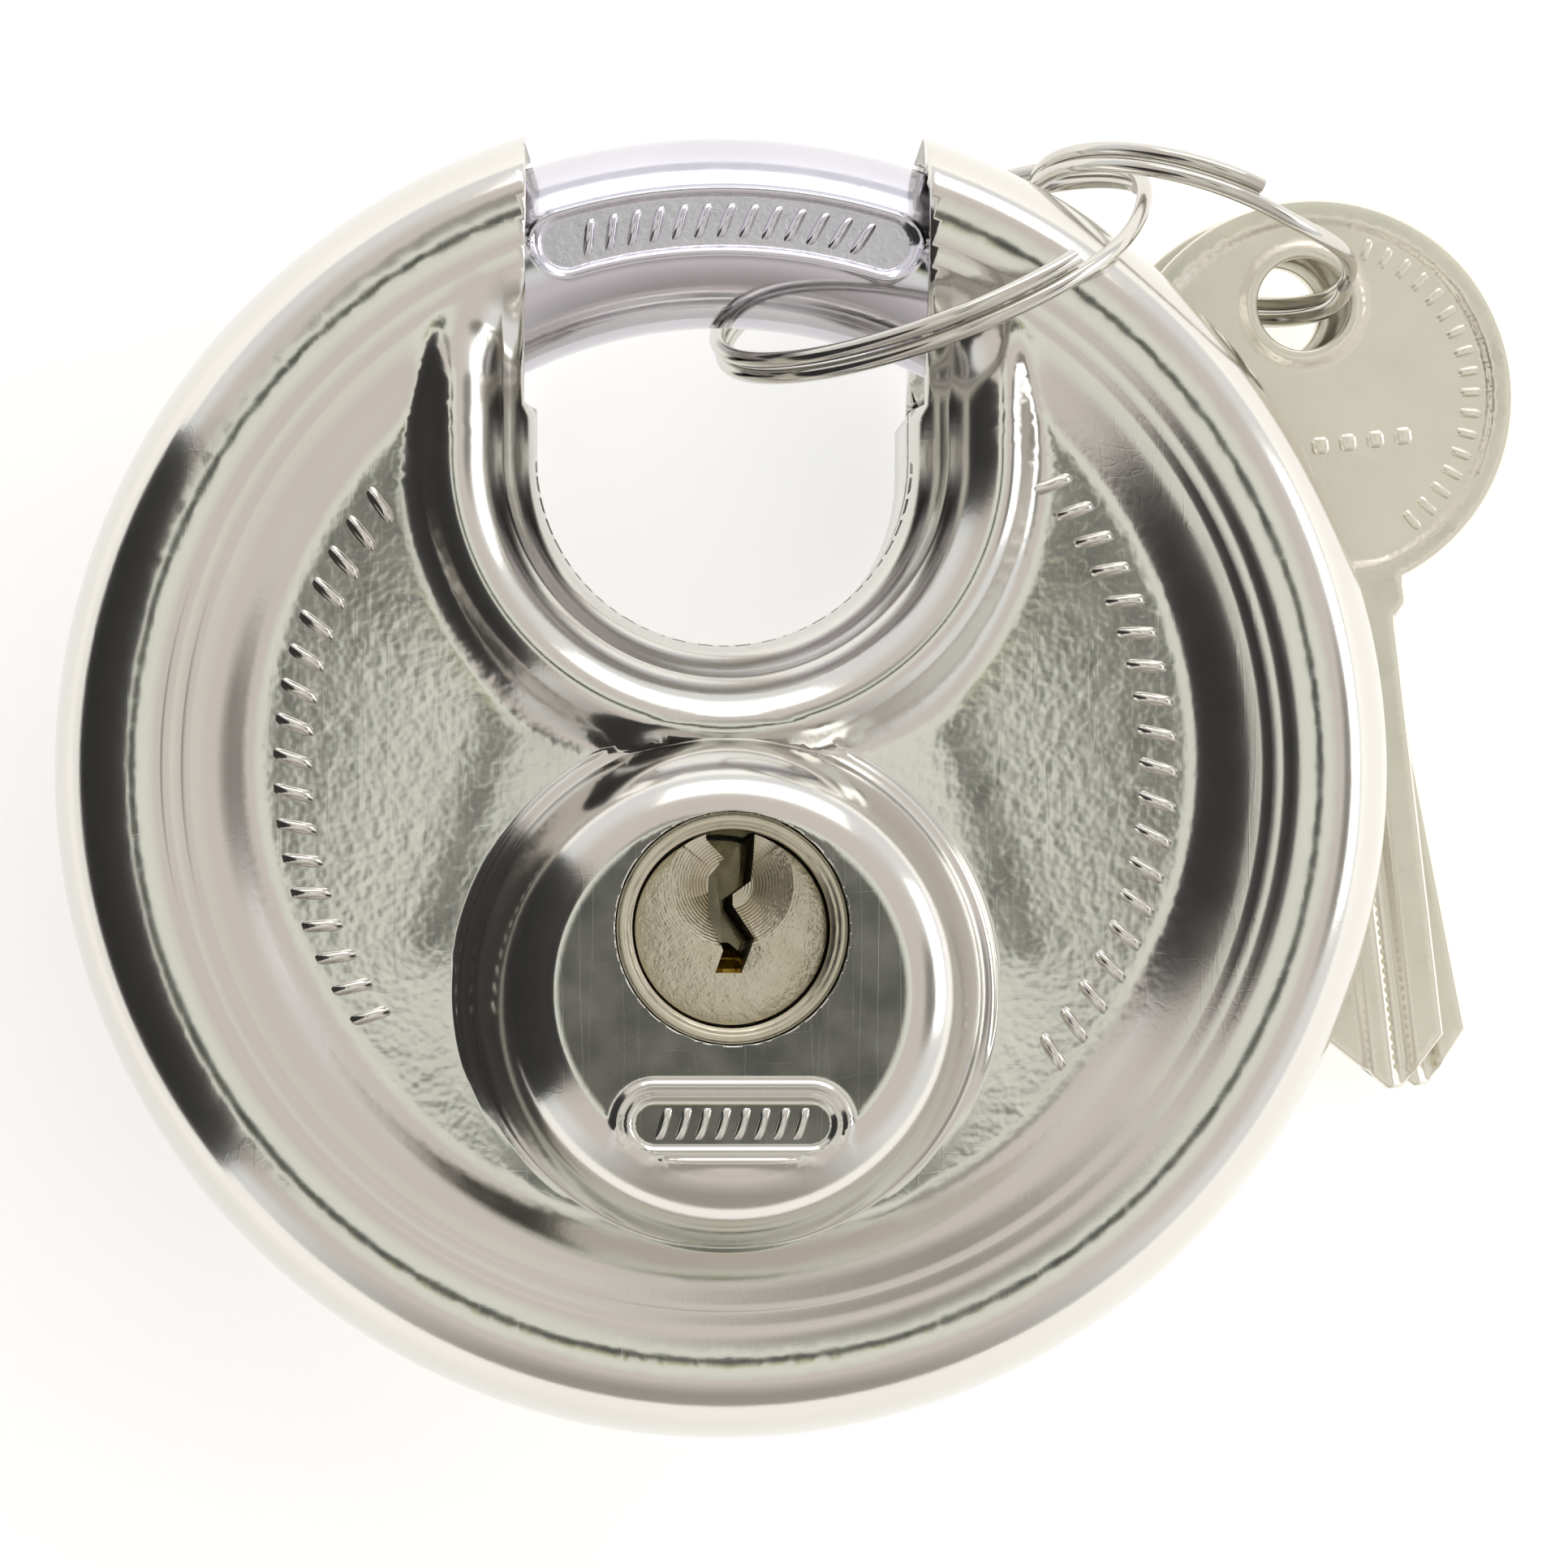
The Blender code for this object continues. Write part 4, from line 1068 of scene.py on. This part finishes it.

# %% [markdown]
# ## The cylinder: plug, neck and keyway
# The plug is a turned bar with a keyway broached through it, whose ragged outline only
# its own key fits, and a countersink that leads the key in. Booleans cut both from a
# lathed body. The housing's neck shows as a thin ring round it.

# %% Tools of the lathe and the mill
def lathe(name, profile, centre, sides, material):
    """A solid of revolution from (radius, height) points, ends closed on the axis."""
    turn = np.linspace(0, 2 * math.pi, sides, endpoint=False)
    points, faces = [], []
    for radius, level in profile:
        for a in turn:
            points.append((centre[0] + radius * math.cos(a), centre[1] + radius * math.sin(a), level))
    rows = len(profile)
    for k in range(rows - 1):
        for i in range(sides):
            j = (i + 1) % sides
            faces.append((k * sides + i, k * sides + j, (k + 1) * sides + j, (k + 1) * sides + i))
    faces.append(tuple(range(sides))[::-1])
    faces.append(tuple((rows - 1) * sides + i for i in range(sides)))
    return face_out(new_mesh(name, points, faces, material))


def extrude(name, outline, low, high, material):
    n = len(outline)
    points = [(x, y, low) for x, y in outline] + [(x, y, high) for x, y in outline]
    faces = [(i, (i + 1) % n, n + (i + 1) % n, n + i) for i in range(n)]
    faces += [tuple(range(n))[::-1], tuple(range(n, 2 * n))]
    return face_out(new_mesh(name, points, faces, material))


def cut(piece, cutter, operation="DIFFERENCE"):
    modifier = piece.modifiers.new("Cut", "BOOLEAN")
    modifier.operation = operation
    modifier.solver = "EXACT"
    modifier.object = cutter
    graph = bpy.context.evaluated_depsgraph_get()
    result = bpy.data.meshes.new_from_object(piece.evaluated_get(graph))
    piece.modifiers.remove(modifier)
    piece.data = result
    bpy.data.objects.remove(cutter)
    return piece


def round_edges(piece, width, segments=2, degrees=35):
    modifier = piece.modifiers.new("Bevel", "BEVEL")
    modifier.width = width * MM
    modifier.segments = segments
    modifier.limit_method = "ANGLE"
    modifier.angle_limit = math.radians(degrees)
    graph = bpy.context.evaluated_depsgraph_get()
    result = bpy.data.meshes.new_from_object(piece.evaluated_get(graph))
    piece.modifiers.remove(modifier)
    piece.data = result
    result.shade_smooth()
    result.set_sharp_from_angle(angle=math.radians(40))
    return piece


print("lathe and mill ready")

# %% [markdown]
# The keyway's outline is in millimetres from the plug's axis, with the wards that stand
# into it from both sides. The arm, washer and clip sit on the thin tail below.

# %% Plug
PLUG_R = 5.02
KEYWAY = [
    (-1.3, 5.6), (-1.25, 4.6), (-0.75, 4.1), (-0.3, 3.65), (-0.75, 3.1), (-1.1, 2.7), (-1.15, 0.8),
    (-0.55, -0.7), (-0.4, -1.1), (-0.8, -2.25), (0.55, -2.25), (1.05, -0.95), (1.2, -0.45), (0.15, 1.25),
    (0.15, 1.8), (1.1, 2.5), (1.2, 3.7), (1.25, 5.6),
]


def make_plug():
    low = plug_low.z
    profile = [(0.01, PLUG_FACE), (2.4, PLUG_FACE), (4.7, PLUG_FACE), (4.9, PLUG_FACE - 0.08)]
    profile += [(PLUG_R, PLUG_FACE - 0.3), (PLUG_R, low + 5.0), (1.5, low + 5.0), (1.5, low), (0.01, low)]
    plug = lathe("cylinder_plug", profile, PLUG_XY, 96, nickelled_brass)
    cone = [(0.01, PLUG_FACE + 1), (4.45, PLUG_FACE + 1), (3.2, PLUG_FACE), (1.2, PLUG_FACE - 1.5)]
    cone += [(0.01, PLUG_FACE - 1.5)]
    cut(plug, lathe("countersink", cone, (PLUG_XY.x, CONE_Y), 96, nickelled_brass))
    outline = [(PLUG_XY.x + x, PLUG_XY.y + y) for x, y in KEYWAY]
    cut(plug, extrude("keyway", outline, low + 5.8, PLUG_FACE + 2, nickelled_brass))
    round_edges(plug, 0.04)
    where = np.array([v.co for v in plug.data.vertices]) / MM
    off_cone = np.hypot(where[:, 0] - PLUG_XY.x, where[:, 1] - CONE_Y)
    flat = (where[:, 2] > PLUG_FACE - 0.1) & (off_cone > 3.1)
    attribute(plug, "cast", flat * 1.0)
    attribute(plug, "turned", ((off_cone < 3.35) & (where[:, 2] > PLUG_FACE - 2)) * 1.0)
    return plug


plug = make_plug()
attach(plug, "plug")
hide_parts("plug")
count(plug)

# %% [markdown]
# The housing's neck is a turned tube, so it is lathed as a solid and then its two end
# discs are taken away and the inner and outer edges of the section joined.

# %% Housing neck
neck_top = box_mm("cylinder_housing")[1].z + 0.05
neck_low = neck_top - 3.45
neck = lathe(
    "housing_neck",
    [(5.08, neck_low), (5.08, neck_top - 0.75), (5.14, neck_top - 0.7), (5.36, neck_top - 0.7),
     (5.4, neck_top - 0.1), (5.46, neck_top), (5.85, neck_top), (5.92, neck_top - 0.1), (5.92, neck_low)],
    PLUG_XY, 128, nickelled_brass,
)
bm = bmesh.new()
bm.from_mesh(neck.data)
caps = [f for f in bm.faces if len(f.verts) > 4]
bmesh.ops.delete(bm, geom=caps, context="FACES")
bmesh.ops.bridge_loops(bm, edges=[e for e in bm.edges if e.is_boundary])
bmesh.ops.recalc_face_normals(bm, faces=bm.faces)
bm.to_mesh(neck.data)
bm.free()
neck.data.shade_smooth()
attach(neck, "casing")
count(neck)

# %% [markdown]
# ## The slot for the arm
# The drive arm on the plug's tail reaches into a slot milled across the bar's inner
# side, and so the plug takes the shackle round. The slot is there at rest, under the
# casing, and it is cut out of the finished bar as a mill would cut it.

# %% Driving slot in the shackle
SLOT_DEG = -62.6
SLOT_HALF = 1.8
SLOT_IN, SLOT_OUT = 20.35, 28.9
SLOT_LOW, SLOT_HIGH = 4.0, 13.5
along = np.array([math.cos(math.radians(SLOT_DEG)), math.sin(math.radians(SLOT_DEG))])
aside = np.array([-along[1], along[0]]) * SLOT_HALF
inner, outer = along * SLOT_IN, along * SLOT_OUT
slot = [inner - aside, outer - aside, outer + aside, inner + aside]
cut(shackle, extrude("driving_slot", slot, SLOT_LOW, SLOT_HIGH, chrome))
shackle.data.set_sharp_from_angle(angle=math.radians(40))
count(shackle)

# %% [markdown]
# ## The keys
# A key is stamped from strip: the press raises a rim round the bow and a collar round
# the hole, sinks the field between them, and shears the outline. Then a cutter takes
# the notches and a mill the grooves. Both faces are a height over the key's own plan,
# rounded at its edges by tumbling, so plan and height make it as they made the shells.

# %% Key outline and height
KEY_HALF = 0.95
BOW_R, BOW_L = 10.7, 5.1
KEY_HOLE, KEY_SHOULDER, KEY_TIP = 2.5, 16.6, 42.6
BACK_X, CUT_X = 2.9, -3.7
CUTS = (1.9, 1.2, 2.2, 0.9, 1.5)


def key_corners():
    """The outline's corners: bow, neck, blade with its notches, and the tip."""
    right, left = BACK_X + 0.7, CUT_X - 0.7
    angles = np.linspace(-math.acos(right / BOW_R), math.pi + math.acos(-left / BOW_R), 150)
    bow = [(BOW_R * math.cos(a), -BOW_L + BOW_R * math.sin(a)) for a in angles]
    blade = [(left, -KEY_SHOULDER), (CUT_X, -KEY_SHOULDER - 0.8)]
    at = -KEY_SHOULDER - 3.0
    for depth in CUTS:
        blade += [(CUT_X, at), (CUT_X + depth, at - 1.3), (CUT_X + depth, at - 2.1), (CUT_X, at - 3.4)]
        at -= 3.9
    blade += [(CUT_X, 3.3 - KEY_TIP), (-0.4, -KEY_TIP), (0.4, -KEY_TIP), (BACK_X, 2.6 - KEY_TIP)]
    blade += [(BACK_X, -KEY_SHOULDER - 0.8), (right, -KEY_SHOULDER)]
    return np.array(bow + blade)


def evenly(corners, spacing):
    """Points along a closed outline, keeping its corners."""
    out = []
    for a, b in zip(corners, np.roll(corners, -1, axis=0)):
        number = max(1, int(round(np.linalg.norm(b - a) / spacing)))
        out += [a + (b - a) * i / number for i in range(number)]
    return np.array(out)


def outline_distance(points, corners):
    """Distance to the outline and whether each point is inside it."""
    a, b = corners, np.roll(corners, -1, axis=0)
    run = b - a
    rel = points[:, None] - a[None]
    t = np.clip((rel * run).sum(-1) / (run * run).sum(-1), 0, 1)
    away = np.linalg.norm(rel - t[..., None] * run, axis=-1).min(axis=1)
    x, y = points[:, :1], points[:, 1:]
    at = run[:, 0] * (y - a[:, 1]) / (run[:, 1] + 1e-12) + a[:, 0]
    crossing = ((a[:, 1] > y) != (b[:, 1] > y)) & (x < at)
    return away, crossing.sum(axis=1) % 2 == 1


print("key corners:", len(key_corners()))

# %% [markdown]
# Half the thickness at each point: the field of the bow is sunk inside its rim, the
# blade has a groove and a shelf for the wards, and tumbling has rounded every edge.

# %% Key height and plan
def key_height(points, edge):
    """Half the thickness at each point, edge being the distance to the nearest edge."""
    x, y = points[:, 0], points[:, 1]
    bow = np.hypot(x, y + BOW_L)
    hole = np.hypot(x, y)
    field = smooth_step(BOW_R - 1.05 - bow, 0, 0.35) * smooth_step(hole - KEY_HOLE - 0.65, 0, 0.25)
    height = KEY_HALF - 0.3 * field * smooth_step(y + 14.4, -0.2, 0.4)
    on_blade = smooth_step(-y - KEY_SHOULDER - 0.6, 0, 0.8)
    groove = smooth_step(0.62 - np.abs(x - 0.55), 0, 0.3) * 0.5
    shelf = smooth_step(-x - 1.15, 0, 0.3) * 0.3
    height = height - on_blade * (groove + shelf)
    rounding = 0.2
    near = np.clip(rounding - edge, 0, rounding)
    return height - (rounding - np.sqrt(np.maximum(rounding**2 - near**2, 0)))


def key_plan():
    corners = key_corners()
    border = evenly(corners, 0.35)
    fill = grid_points((-11, -43), (11, 6), 0.3)
    away, inside = outline_distance(fill, corners)
    fill = fill[inside & (away > 0.3) & (np.hypot(fill[:, 0], fill[:, 1]) > KEY_HOLE + 0.3)]
    run = np.roll(border, -1, axis=0) - np.roll(border, 1, axis=0)
    inward = np.stack([-run[:, 1], run[:, 0]], 1) / np.linalg.norm(run, axis=1, keepdims=True)
    sets = [fill]
    for depth in (0.05, 0.12, 0.21):
        ring = border + inward * depth
        ring_away, ring_in = outline_distance(ring, corners)
        sets.append(ring[ring_in & (ring_away > depth * 0.8)])
        sets.append(ring_points(KEY_HOLE + depth, 54))
    hole = ring_points(KEY_HOLE, 54)
    rim_rings = [ring_points(BOW_R - 1.05 - d, 180, (0, -BOW_L)) for d in (0.0, 0.15, 0.3, 0.45)]
    for ring in rim_rings:
        ring_away, ring_in = outline_distance(ring, corners)
        sets.append(ring[ring_in & (ring_away > 0.3) & (ring[:, 1] > -14.0)])

    def in_key(p):
        return outline_distance(p, corners)[1] & (np.hypot(p[:, 0], p[:, 1]) > KEY_HOLE - 0.01)

    plan, faces = triangulate(np.concatenate(sets), [border, hole], in_key)
    away, _ = outline_distance(plan, corners)
    edge = np.minimum(away, np.hypot(plan[:, 0], plan[:, 1]) - KEY_HOLE)
    return plan, faces, np.maximum(edge, 0)


KEY_PLAN = key_plan()
print("key plan:", len(KEY_PLAN[0]), "points")

# %% [markdown]
# One key lies on the other, and both ride on the small ring. Each is made flat on its
# own plan and then turned into the place where its joint holds it: the hole is on the
# joint's point and the face square to the joint's axis.

# %% The two keys
def key_place(joint_name, plan_deg):
    joint = next(j for j in frame["joints"] if j["name"] == joint_name)
    z = Vector(joint["axis"]).normalized()
    down = Vector((math.sin(math.radians(plan_deg)), -math.cos(math.radians(plan_deg)), 0.0))
    y = -(down - z * down.dot(z)).normalized()
    turn = Matrix((y.cross(z), y, z)).transposed().to_4x4()
    return Matrix.Translation(Vector(joint["pos_m"])) @ turn


def make_key(number, plan_deg):
    plan, faces, edge = KEY_PLAN
    half = key_height(plan, edge)
    upper = np.column_stack([plan, half])
    lower = np.column_stack([plan, -half])
    n = len(plan)
    rim = open_edges(faces)
    a, b = rim[:, 0], rim[:, 1]
    sides = np.concatenate([np.stack([b, a, a + n], 1), np.stack([b, a + n, b + n], 1)])
    everything = np.concatenate([faces, faces[:, ::-1] + n, sides])
    key = new_mesh(f"flat_key_{number}", np.concatenate([upper, lower]), everything, nickel_silver)
    bow = np.hypot(plan[:, 0], plan[:, 1] + BOW_L)
    field = smooth_step(BOW_R - 1.3 - bow, 0, 0.3) * (np.hypot(plan[:, 0], plan[:, 1]) > KEY_HOLE + 0.8)
    attribute(key, "cast", np.tile(field, 2))
    place = key_place(f"key_{number}_swing", plan_deg)
    key.data.transform(place)
    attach(key, f"key_{number}")
    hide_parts(f"key_{number}")
    return count(key), place


print("keys can be made")

# %% [markdown]
# Both keys are cut alike. Small dashes run along each bow's edge and a row of seven
# stands in its middle, where a maker's words would be.

# %% Keys and their marks
for number, plan_deg in ((1, 6.8), (2, 11.1)):
    key, place = make_key(number, plan_deg)
    level = (KEY_HALF - 0.32) * MM
    raised = place @ Matrix.Translation((0, -BOW_L * MM, level))
    lay_marks(
        f"key_{number}_border", ARC_TREE, soft_mark("border_mark", 0.55, 1.3, 0.17, 0.0),
        raised, f"key_{number}", "nickel_silver", nickel_silver,
        Radius=8.45 * MM, Start=math.radians(-58), Sweep=math.radians(122), Count=17,
    )
    lay_marks(
        f"key_{number}_row", ROW_TREE, soft_mark("row_mark", 1.0, 1.0, 0.17, 0.0),
        raised @ Matrix.Translation((0, -2.6 * MM, 0)), f"key_{number}", "nickel_silver", nickel_silver,
        Start=-4.5 * MM, Sweep=1.5 * MM, Count=7,
    )

# %% [markdown]
# ## The split rings
# Spring wire wound twice round, its two turns side by side, stepping over between its
# two cut ends. That shape is a rule: the wire goes round at a steady rate and climbs by
# one pitch between two angles. So a node tree winds it, with the radius, the pitch, the
# wire and the start as its inputs, and carries a round section along the line.

# %% Split rings by Geometry Nodes
TURNS_DEG = 655.0
STEP_FROM_DEG, STEP_TO_DEG = 300.0, 350.0
STATIONS = 360


def winding_tree():
    tree = bpy.data.node_groups.new("wound_wire", "GeometryNodeTree")
    face = tree.interface
    face.new_socket("Geometry", in_out="INPUT", socket_type="NodeSocketGeometry")
    face.new_socket("Geometry", in_out="OUTPUT", socket_type="NodeSocketGeometry")
    for label in ("Radius", "Pitch", "Wire", "Start"):
        face.new_socket(label, in_out="INPUT", socket_type="NodeSocketFloat")
    face.new_socket("Finish", in_out="INPUT", socket_type="NodeSocketMaterial")
    given = tree.nodes.new("NodeGroupInput").outputs
    line = add(tree, "GeometryNodeMeshLine", {"Count": STATIONS}).outputs["Mesh"]
    index = add(tree, "GeometryNodeInputIndex").outputs["Index"]
    wound = add(tree, "ShaderNodeMapRange", {
        "Value": index, "From Max": STATIONS - 1.0, "To Max": math.radians(TURNS_DEG),
    }).outputs["Result"]
    climb = add(tree, "ShaderNodeMapRange", {
        "Value": wound, "From Min": math.radians(STEP_FROM_DEG), "From Max": math.radians(STEP_TO_DEG),
        "To Min": -0.5, "To Max": 0.5,
    }, interpolation_type="SMOOTHSTEP").outputs["Result"]
    angle = add(tree, "ShaderNodeMath", {0: wound, 1: given["Start"]}, operation="ADD").outputs[0]
    cosine = add(tree, "ShaderNodeMath", {0: angle}, operation="COSINE").outputs[0]
    sine = add(tree, "ShaderNodeMath", {0: angle}, operation="SINE").outputs[0]
    x = add(tree, "ShaderNodeMath", {0: cosine, 1: given["Radius"]}, operation="MULTIPLY").outputs[0]
    y = add(tree, "ShaderNodeMath", {0: sine, 1: given["Radius"]}, operation="MULTIPLY").outputs[0]
    z = add(tree, "ShaderNodeMath", {0: climb, 1: given["Pitch"]}, operation="MULTIPLY").outputs[0]
    spot = add(tree, "ShaderNodeCombineXYZ", {"X": x, "Y": y, "Z": z}).outputs["Vector"]
    placed = add(tree, "GeometryNodeSetPosition", {"Geometry": line, "Position": spot}).outputs["Geometry"]
    path = add(tree, "GeometryNodeMeshToCurve", {"Mesh": placed}).outputs["Curve"]
    section = add(tree, "GeometryNodeCurvePrimitiveCircle", {"Resolution": 16, "Radius": given["Wire"]})
    wire = add(tree, "GeometryNodeCurveToMesh", {
        "Curve": path, "Profile Curve": section.outputs["Curve"], "Fill Caps": True,
    }).outputs["Mesh"]
    real = add(tree, "GeometryNodeRealizeInstances", {"Geometry": wire}).outputs["Geometry"]
    done = add(tree, "GeometryNodeSetMaterial", {"Geometry": real, "Material": given["Finish"]})
    add(tree, "NodeGroupOutput", {"Geometry": done.outputs["Geometry"]})
    return tree


WINDING = winding_tree()
WIRE = 0.42
PITCH = 0.94
RINGS = {
    "large": dict(centre=(11.14, 26.61, 13.3), chord=22.8, lean=18.9, radius=12.0, start=60.0),
    "small": dict(centre=(25.22, 28.87, 9.4), chord=-18.8, lean=-14.9, radius=8.72, start=75.0),
}


def make_ring(size, centre, chord, lean, radius, start):
    chord, lean = math.radians(chord), math.radians(lean)
    u = Vector((math.cos(chord), math.sin(chord), 0.0))
    away = Vector((math.sin(chord), -math.cos(chord), 0.0))
    v = Vector((0.0, 0.0, math.cos(lean))) + away * math.sin(lean)
    lie = Matrix((u, v, u.cross(v))).transposed().to_4x4()
    ring = grow(
        f"wound_ring_{size}", WINDING, lifted(*centre) @ lie, Radius=radius * MM, Pitch=PITCH * MM,
        Wire=WIRE * MM, Start=math.radians(start), Finish=wire_steel,
    )
    face_out(ring)
    attribute(ring, "cast", np.zeros(len(ring.data.vertices)))
    ring.data.shade_smooth()
    ring.data.set_sharp_from_angle(angle=math.radians(50))
    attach(ring, f"split_ring_{size}")
    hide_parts(f"split_ring_{size}")
    return count(ring)


for size, place in RINGS.items():
    make_ring(size, **place)

# %% [markdown]
# ## Metals for what stays hidden
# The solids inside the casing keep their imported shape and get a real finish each.

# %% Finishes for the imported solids
def finish_nodes(names, finish):
    for name in names:
        node = frame["nodes"][name]
        if not node.material_slots:
            node.data.materials.append(finish)
        for slot in node.material_slots:
            slot.material = finish
        print(name, "->", finish.name)


STACKS = range(1, 6)
finish_nodes(["core_block"], cast_zinc)
finish_nodes(["drill_guard_plate", "drive_arm"], hardened)
finish_nodes(["cylinder_housing"], nickelled_brass)
finish_nodes([f"key_pin_{i}" for i in STACKS], brass)
finish_nodes([f"driver_pin_{i}" for i in STACKS] + [f"pin_spring_{i}" for i in STACKS], bright_steel)
finish_nodes(["spring_cover", "tail_washer", "retaining_clip"], bright_steel)

# %% [markdown]
# ## Floor, light and camera
# Metal shows what stands round it. A pale floor and a bright tent give it white edges,
# and the dark of the room above and to the left gives it the deep bands that make it
# read as metal. The camera looks straight down, a touch from below and from the left.

# %% Floor
floor_finish, floor_tree, floor_shader = start_finish("light_table", "#F4F4F2", 0.6, 0.0)
two_tones(floor_tree, floor_shader, "#F2F2F0", "#F6F6F4", clouds(floor_tree, 40.0, 2.0))
floor_shader.inputs["Emission Color"].default_value = linear("#FFFFFF")
floor_shader.inputs["Emission Strength"].default_value = 0.5
FLOOR_HALF = 900.0
sides = ((-1, -1), (1, -1), (1, 1), (-1, 1))
corners = [(x * FLOOR_HALF, y * FLOOR_HALF, -0.05) for x, y in sides]
floor = new_mesh("floor", corners, [(0, 1, 2, 3)], floor_finish, smooth=False)
print("floor laid")

# %% [markdown]
# Polished metal needs something dark to show its shape. So a black card stands close on
# the left, just outside the view. It is near, and the left of the rim and the boss see
# all of it, while the right of the rim sees over its top.

# %% Black card
card_finish, card_tree, card_shader = start_finish("black_card", "#141416", 0.8, 0.0)
two_tones(card_tree, card_shader, "#121214", "#18181A", clouds(card_tree, 30.0, 2.0))
corners = [(-58.0, -46.0, 12.0), (-58.0, 38.0, 12.0), (-58.0, 38.0, 225.0), (-58.0, -46.0, 225.0)]
card = new_mesh("black_card", corners, [(0, 1, 2, 3)], card_finish, smooth=False)
card.visible_camera = False
card.visible_shadow = False
print("card stood at the left")

# %% [markdown]
# Two soft boxes, one at the right and one behind, brighten the edges that turn towards
# them. Each is given by its radiance, so its size can change without its brightness.

# %% Soft boxes
def soft_box(name, position, size, radiance, target=(0.0, 0.0, 0.01)):
    light = bpy.data.lights.new(name, "AREA")
    light.shape = "RECTANGLE"
    light.size, light.size_y = size
    light.energy = radiance * math.pi * size[0] * size[1]
    lamp = bpy.data.objects.new(name, light)
    lamp.location = position
    lamp.rotation_euler = (Vector(target) - Vector(position)).to_track_quat("-Z", "Y").to_euler()
    bpy.context.scene.collection.objects.link(lamp)


soft_box("right_tent", (0.6, 0.1, 0.18), (0.45, 0.22), 1.45)
soft_box("top_tent", (0.1, 0.6, 0.3), (0.6, 0.3), 1.2)

# %% [markdown]
# The rest of the tent is the world: pale bands from overhead down to the floor, with a
# few soft dark places. They stand for the lens looking down and for what else was in
# the room, and flat polished metal shows them as its grey.

# %% The tent
world = bpy.data.worlds.new("studio")
bpy.context.scene.world = world
world.use_nodes = True
sky = world.node_tree
direction = add(sky, "ShaderNodeTexCoord").outputs["Generated"]
upward = add(sky, "ShaderNodeSeparateXYZ", {"Vector": direction}).outputs["Z"]
angle = add(sky, "ShaderNodeMath", {0: upward}, operation="ARCCOSINE")
zenith = add(sky, "ShaderNodeMath", {0: angle, 1: 1 / math.pi}, operation="MULTIPLY")
tent = add(sky, "ShaderNodeValToRGB", {"Fac": zenith})
bands = [(0.10, "#F1F3EA"), (0.17, "#E0D8D3"), (0.30, "#E2DBD7"), (0.40, "#F4F5F7")]
for _ in range(len(bands) - 2):
    tent.color_ramp.elements.new(0.5)
for stop, (at, colour) in zip(tent.color_ramp.elements, bands):
    stop.position = at
    stop.color = linear(colour)
print("bands:", len(tent.color_ramp.elements))

# %% [markdown]
# Each dark place is a colour, the direction it lies in, and the angles from there at
# which it begins to fade and is gone. The last is the lens itself, nearly black.

# %% Dark places in the tent
DARK_PLACES = [
    ("#A4A19B", (-0.1, 0.42, 1.0), 4, 12),
    ("#ABA59E", (0.0, -1.0, 0.1), 20, 48),
    ("#8E8B86", (1.2, 0.0, 0.75), 7, 15),
    ("#A8A45E", (0.02, -0.12, 1.0), 1.5, 4),
    ("#131417", (0.032, 0.014, 1.0), 4.4, 7.2),
]
shade = tent.outputs["Color"]
for colour, towards, inner_deg, outer_deg in DARK_PLACES:
    facing = add(
        sky, "ShaderNodeVectorMath", {0: direction, 1: Vector(towards).normalized()},
        operation="DOT_PRODUCT",
    ).outputs["Value"]
    near = add(sky, "ShaderNodeMapRange", {
        "Value": facing, "From Min": math.cos(math.radians(outer_deg)),
        "From Max": math.cos(math.radians(inner_deg)),
    })
    mix = add(sky, "ShaderNodeMix", {"Factor": near}, data_type="RGBA")
    sky.links.new(shade, mix.inputs["A"])
    mix.inputs["B"].default_value = linear(colour)
    shade = mix.outputs["Result"]
backdrop = sky.nodes["Background"]
sky.links.new(shade, backdrop.inputs["Color"])
backdrop.inputs["Strength"].default_value = 1.0
print("dark places:", len(DARK_PLACES))

# %% [markdown]
# ## Camera
# It stands 400 mm above the padlock, nearly straight over it, a touch from the left and
# from below, with a view 82.5 mm wide at the middle plane.

# %% Camera
DISTANCE = 400.0
VIEW_WIDTH = 82.5
AIM = Vector((3.24, -0.68, MID))
LOOK_FROM = Vector((-0.049, -0.037, 1.0)).normalized()
camera_data = bpy.data.cameras.new("camera")
camera_data.sensor_width = 36.0
camera_data.lens = 36.0 * DISTANCE / VIEW_WIDTH
camera_data.clip_start = 0.01
camera = bpy.data.objects.new("camera", camera_data)
place = (AIM + LOOK_FROM * DISTANCE) * MM
back = LOOK_FROM
right = Vector((0, 1, 0)).cross(back).normalized()
turn = Matrix((right, back.cross(right), back)).transposed().to_4x4()
camera.matrix_world = Matrix.Translation(place) @ turn
bpy.context.scene.collection.objects.link(camera)
bpy.context.scene.camera = camera
bpy.context.scene.view_settings.view_transform = "Standard"
print("camera at", [round(c, 3) for c in place])
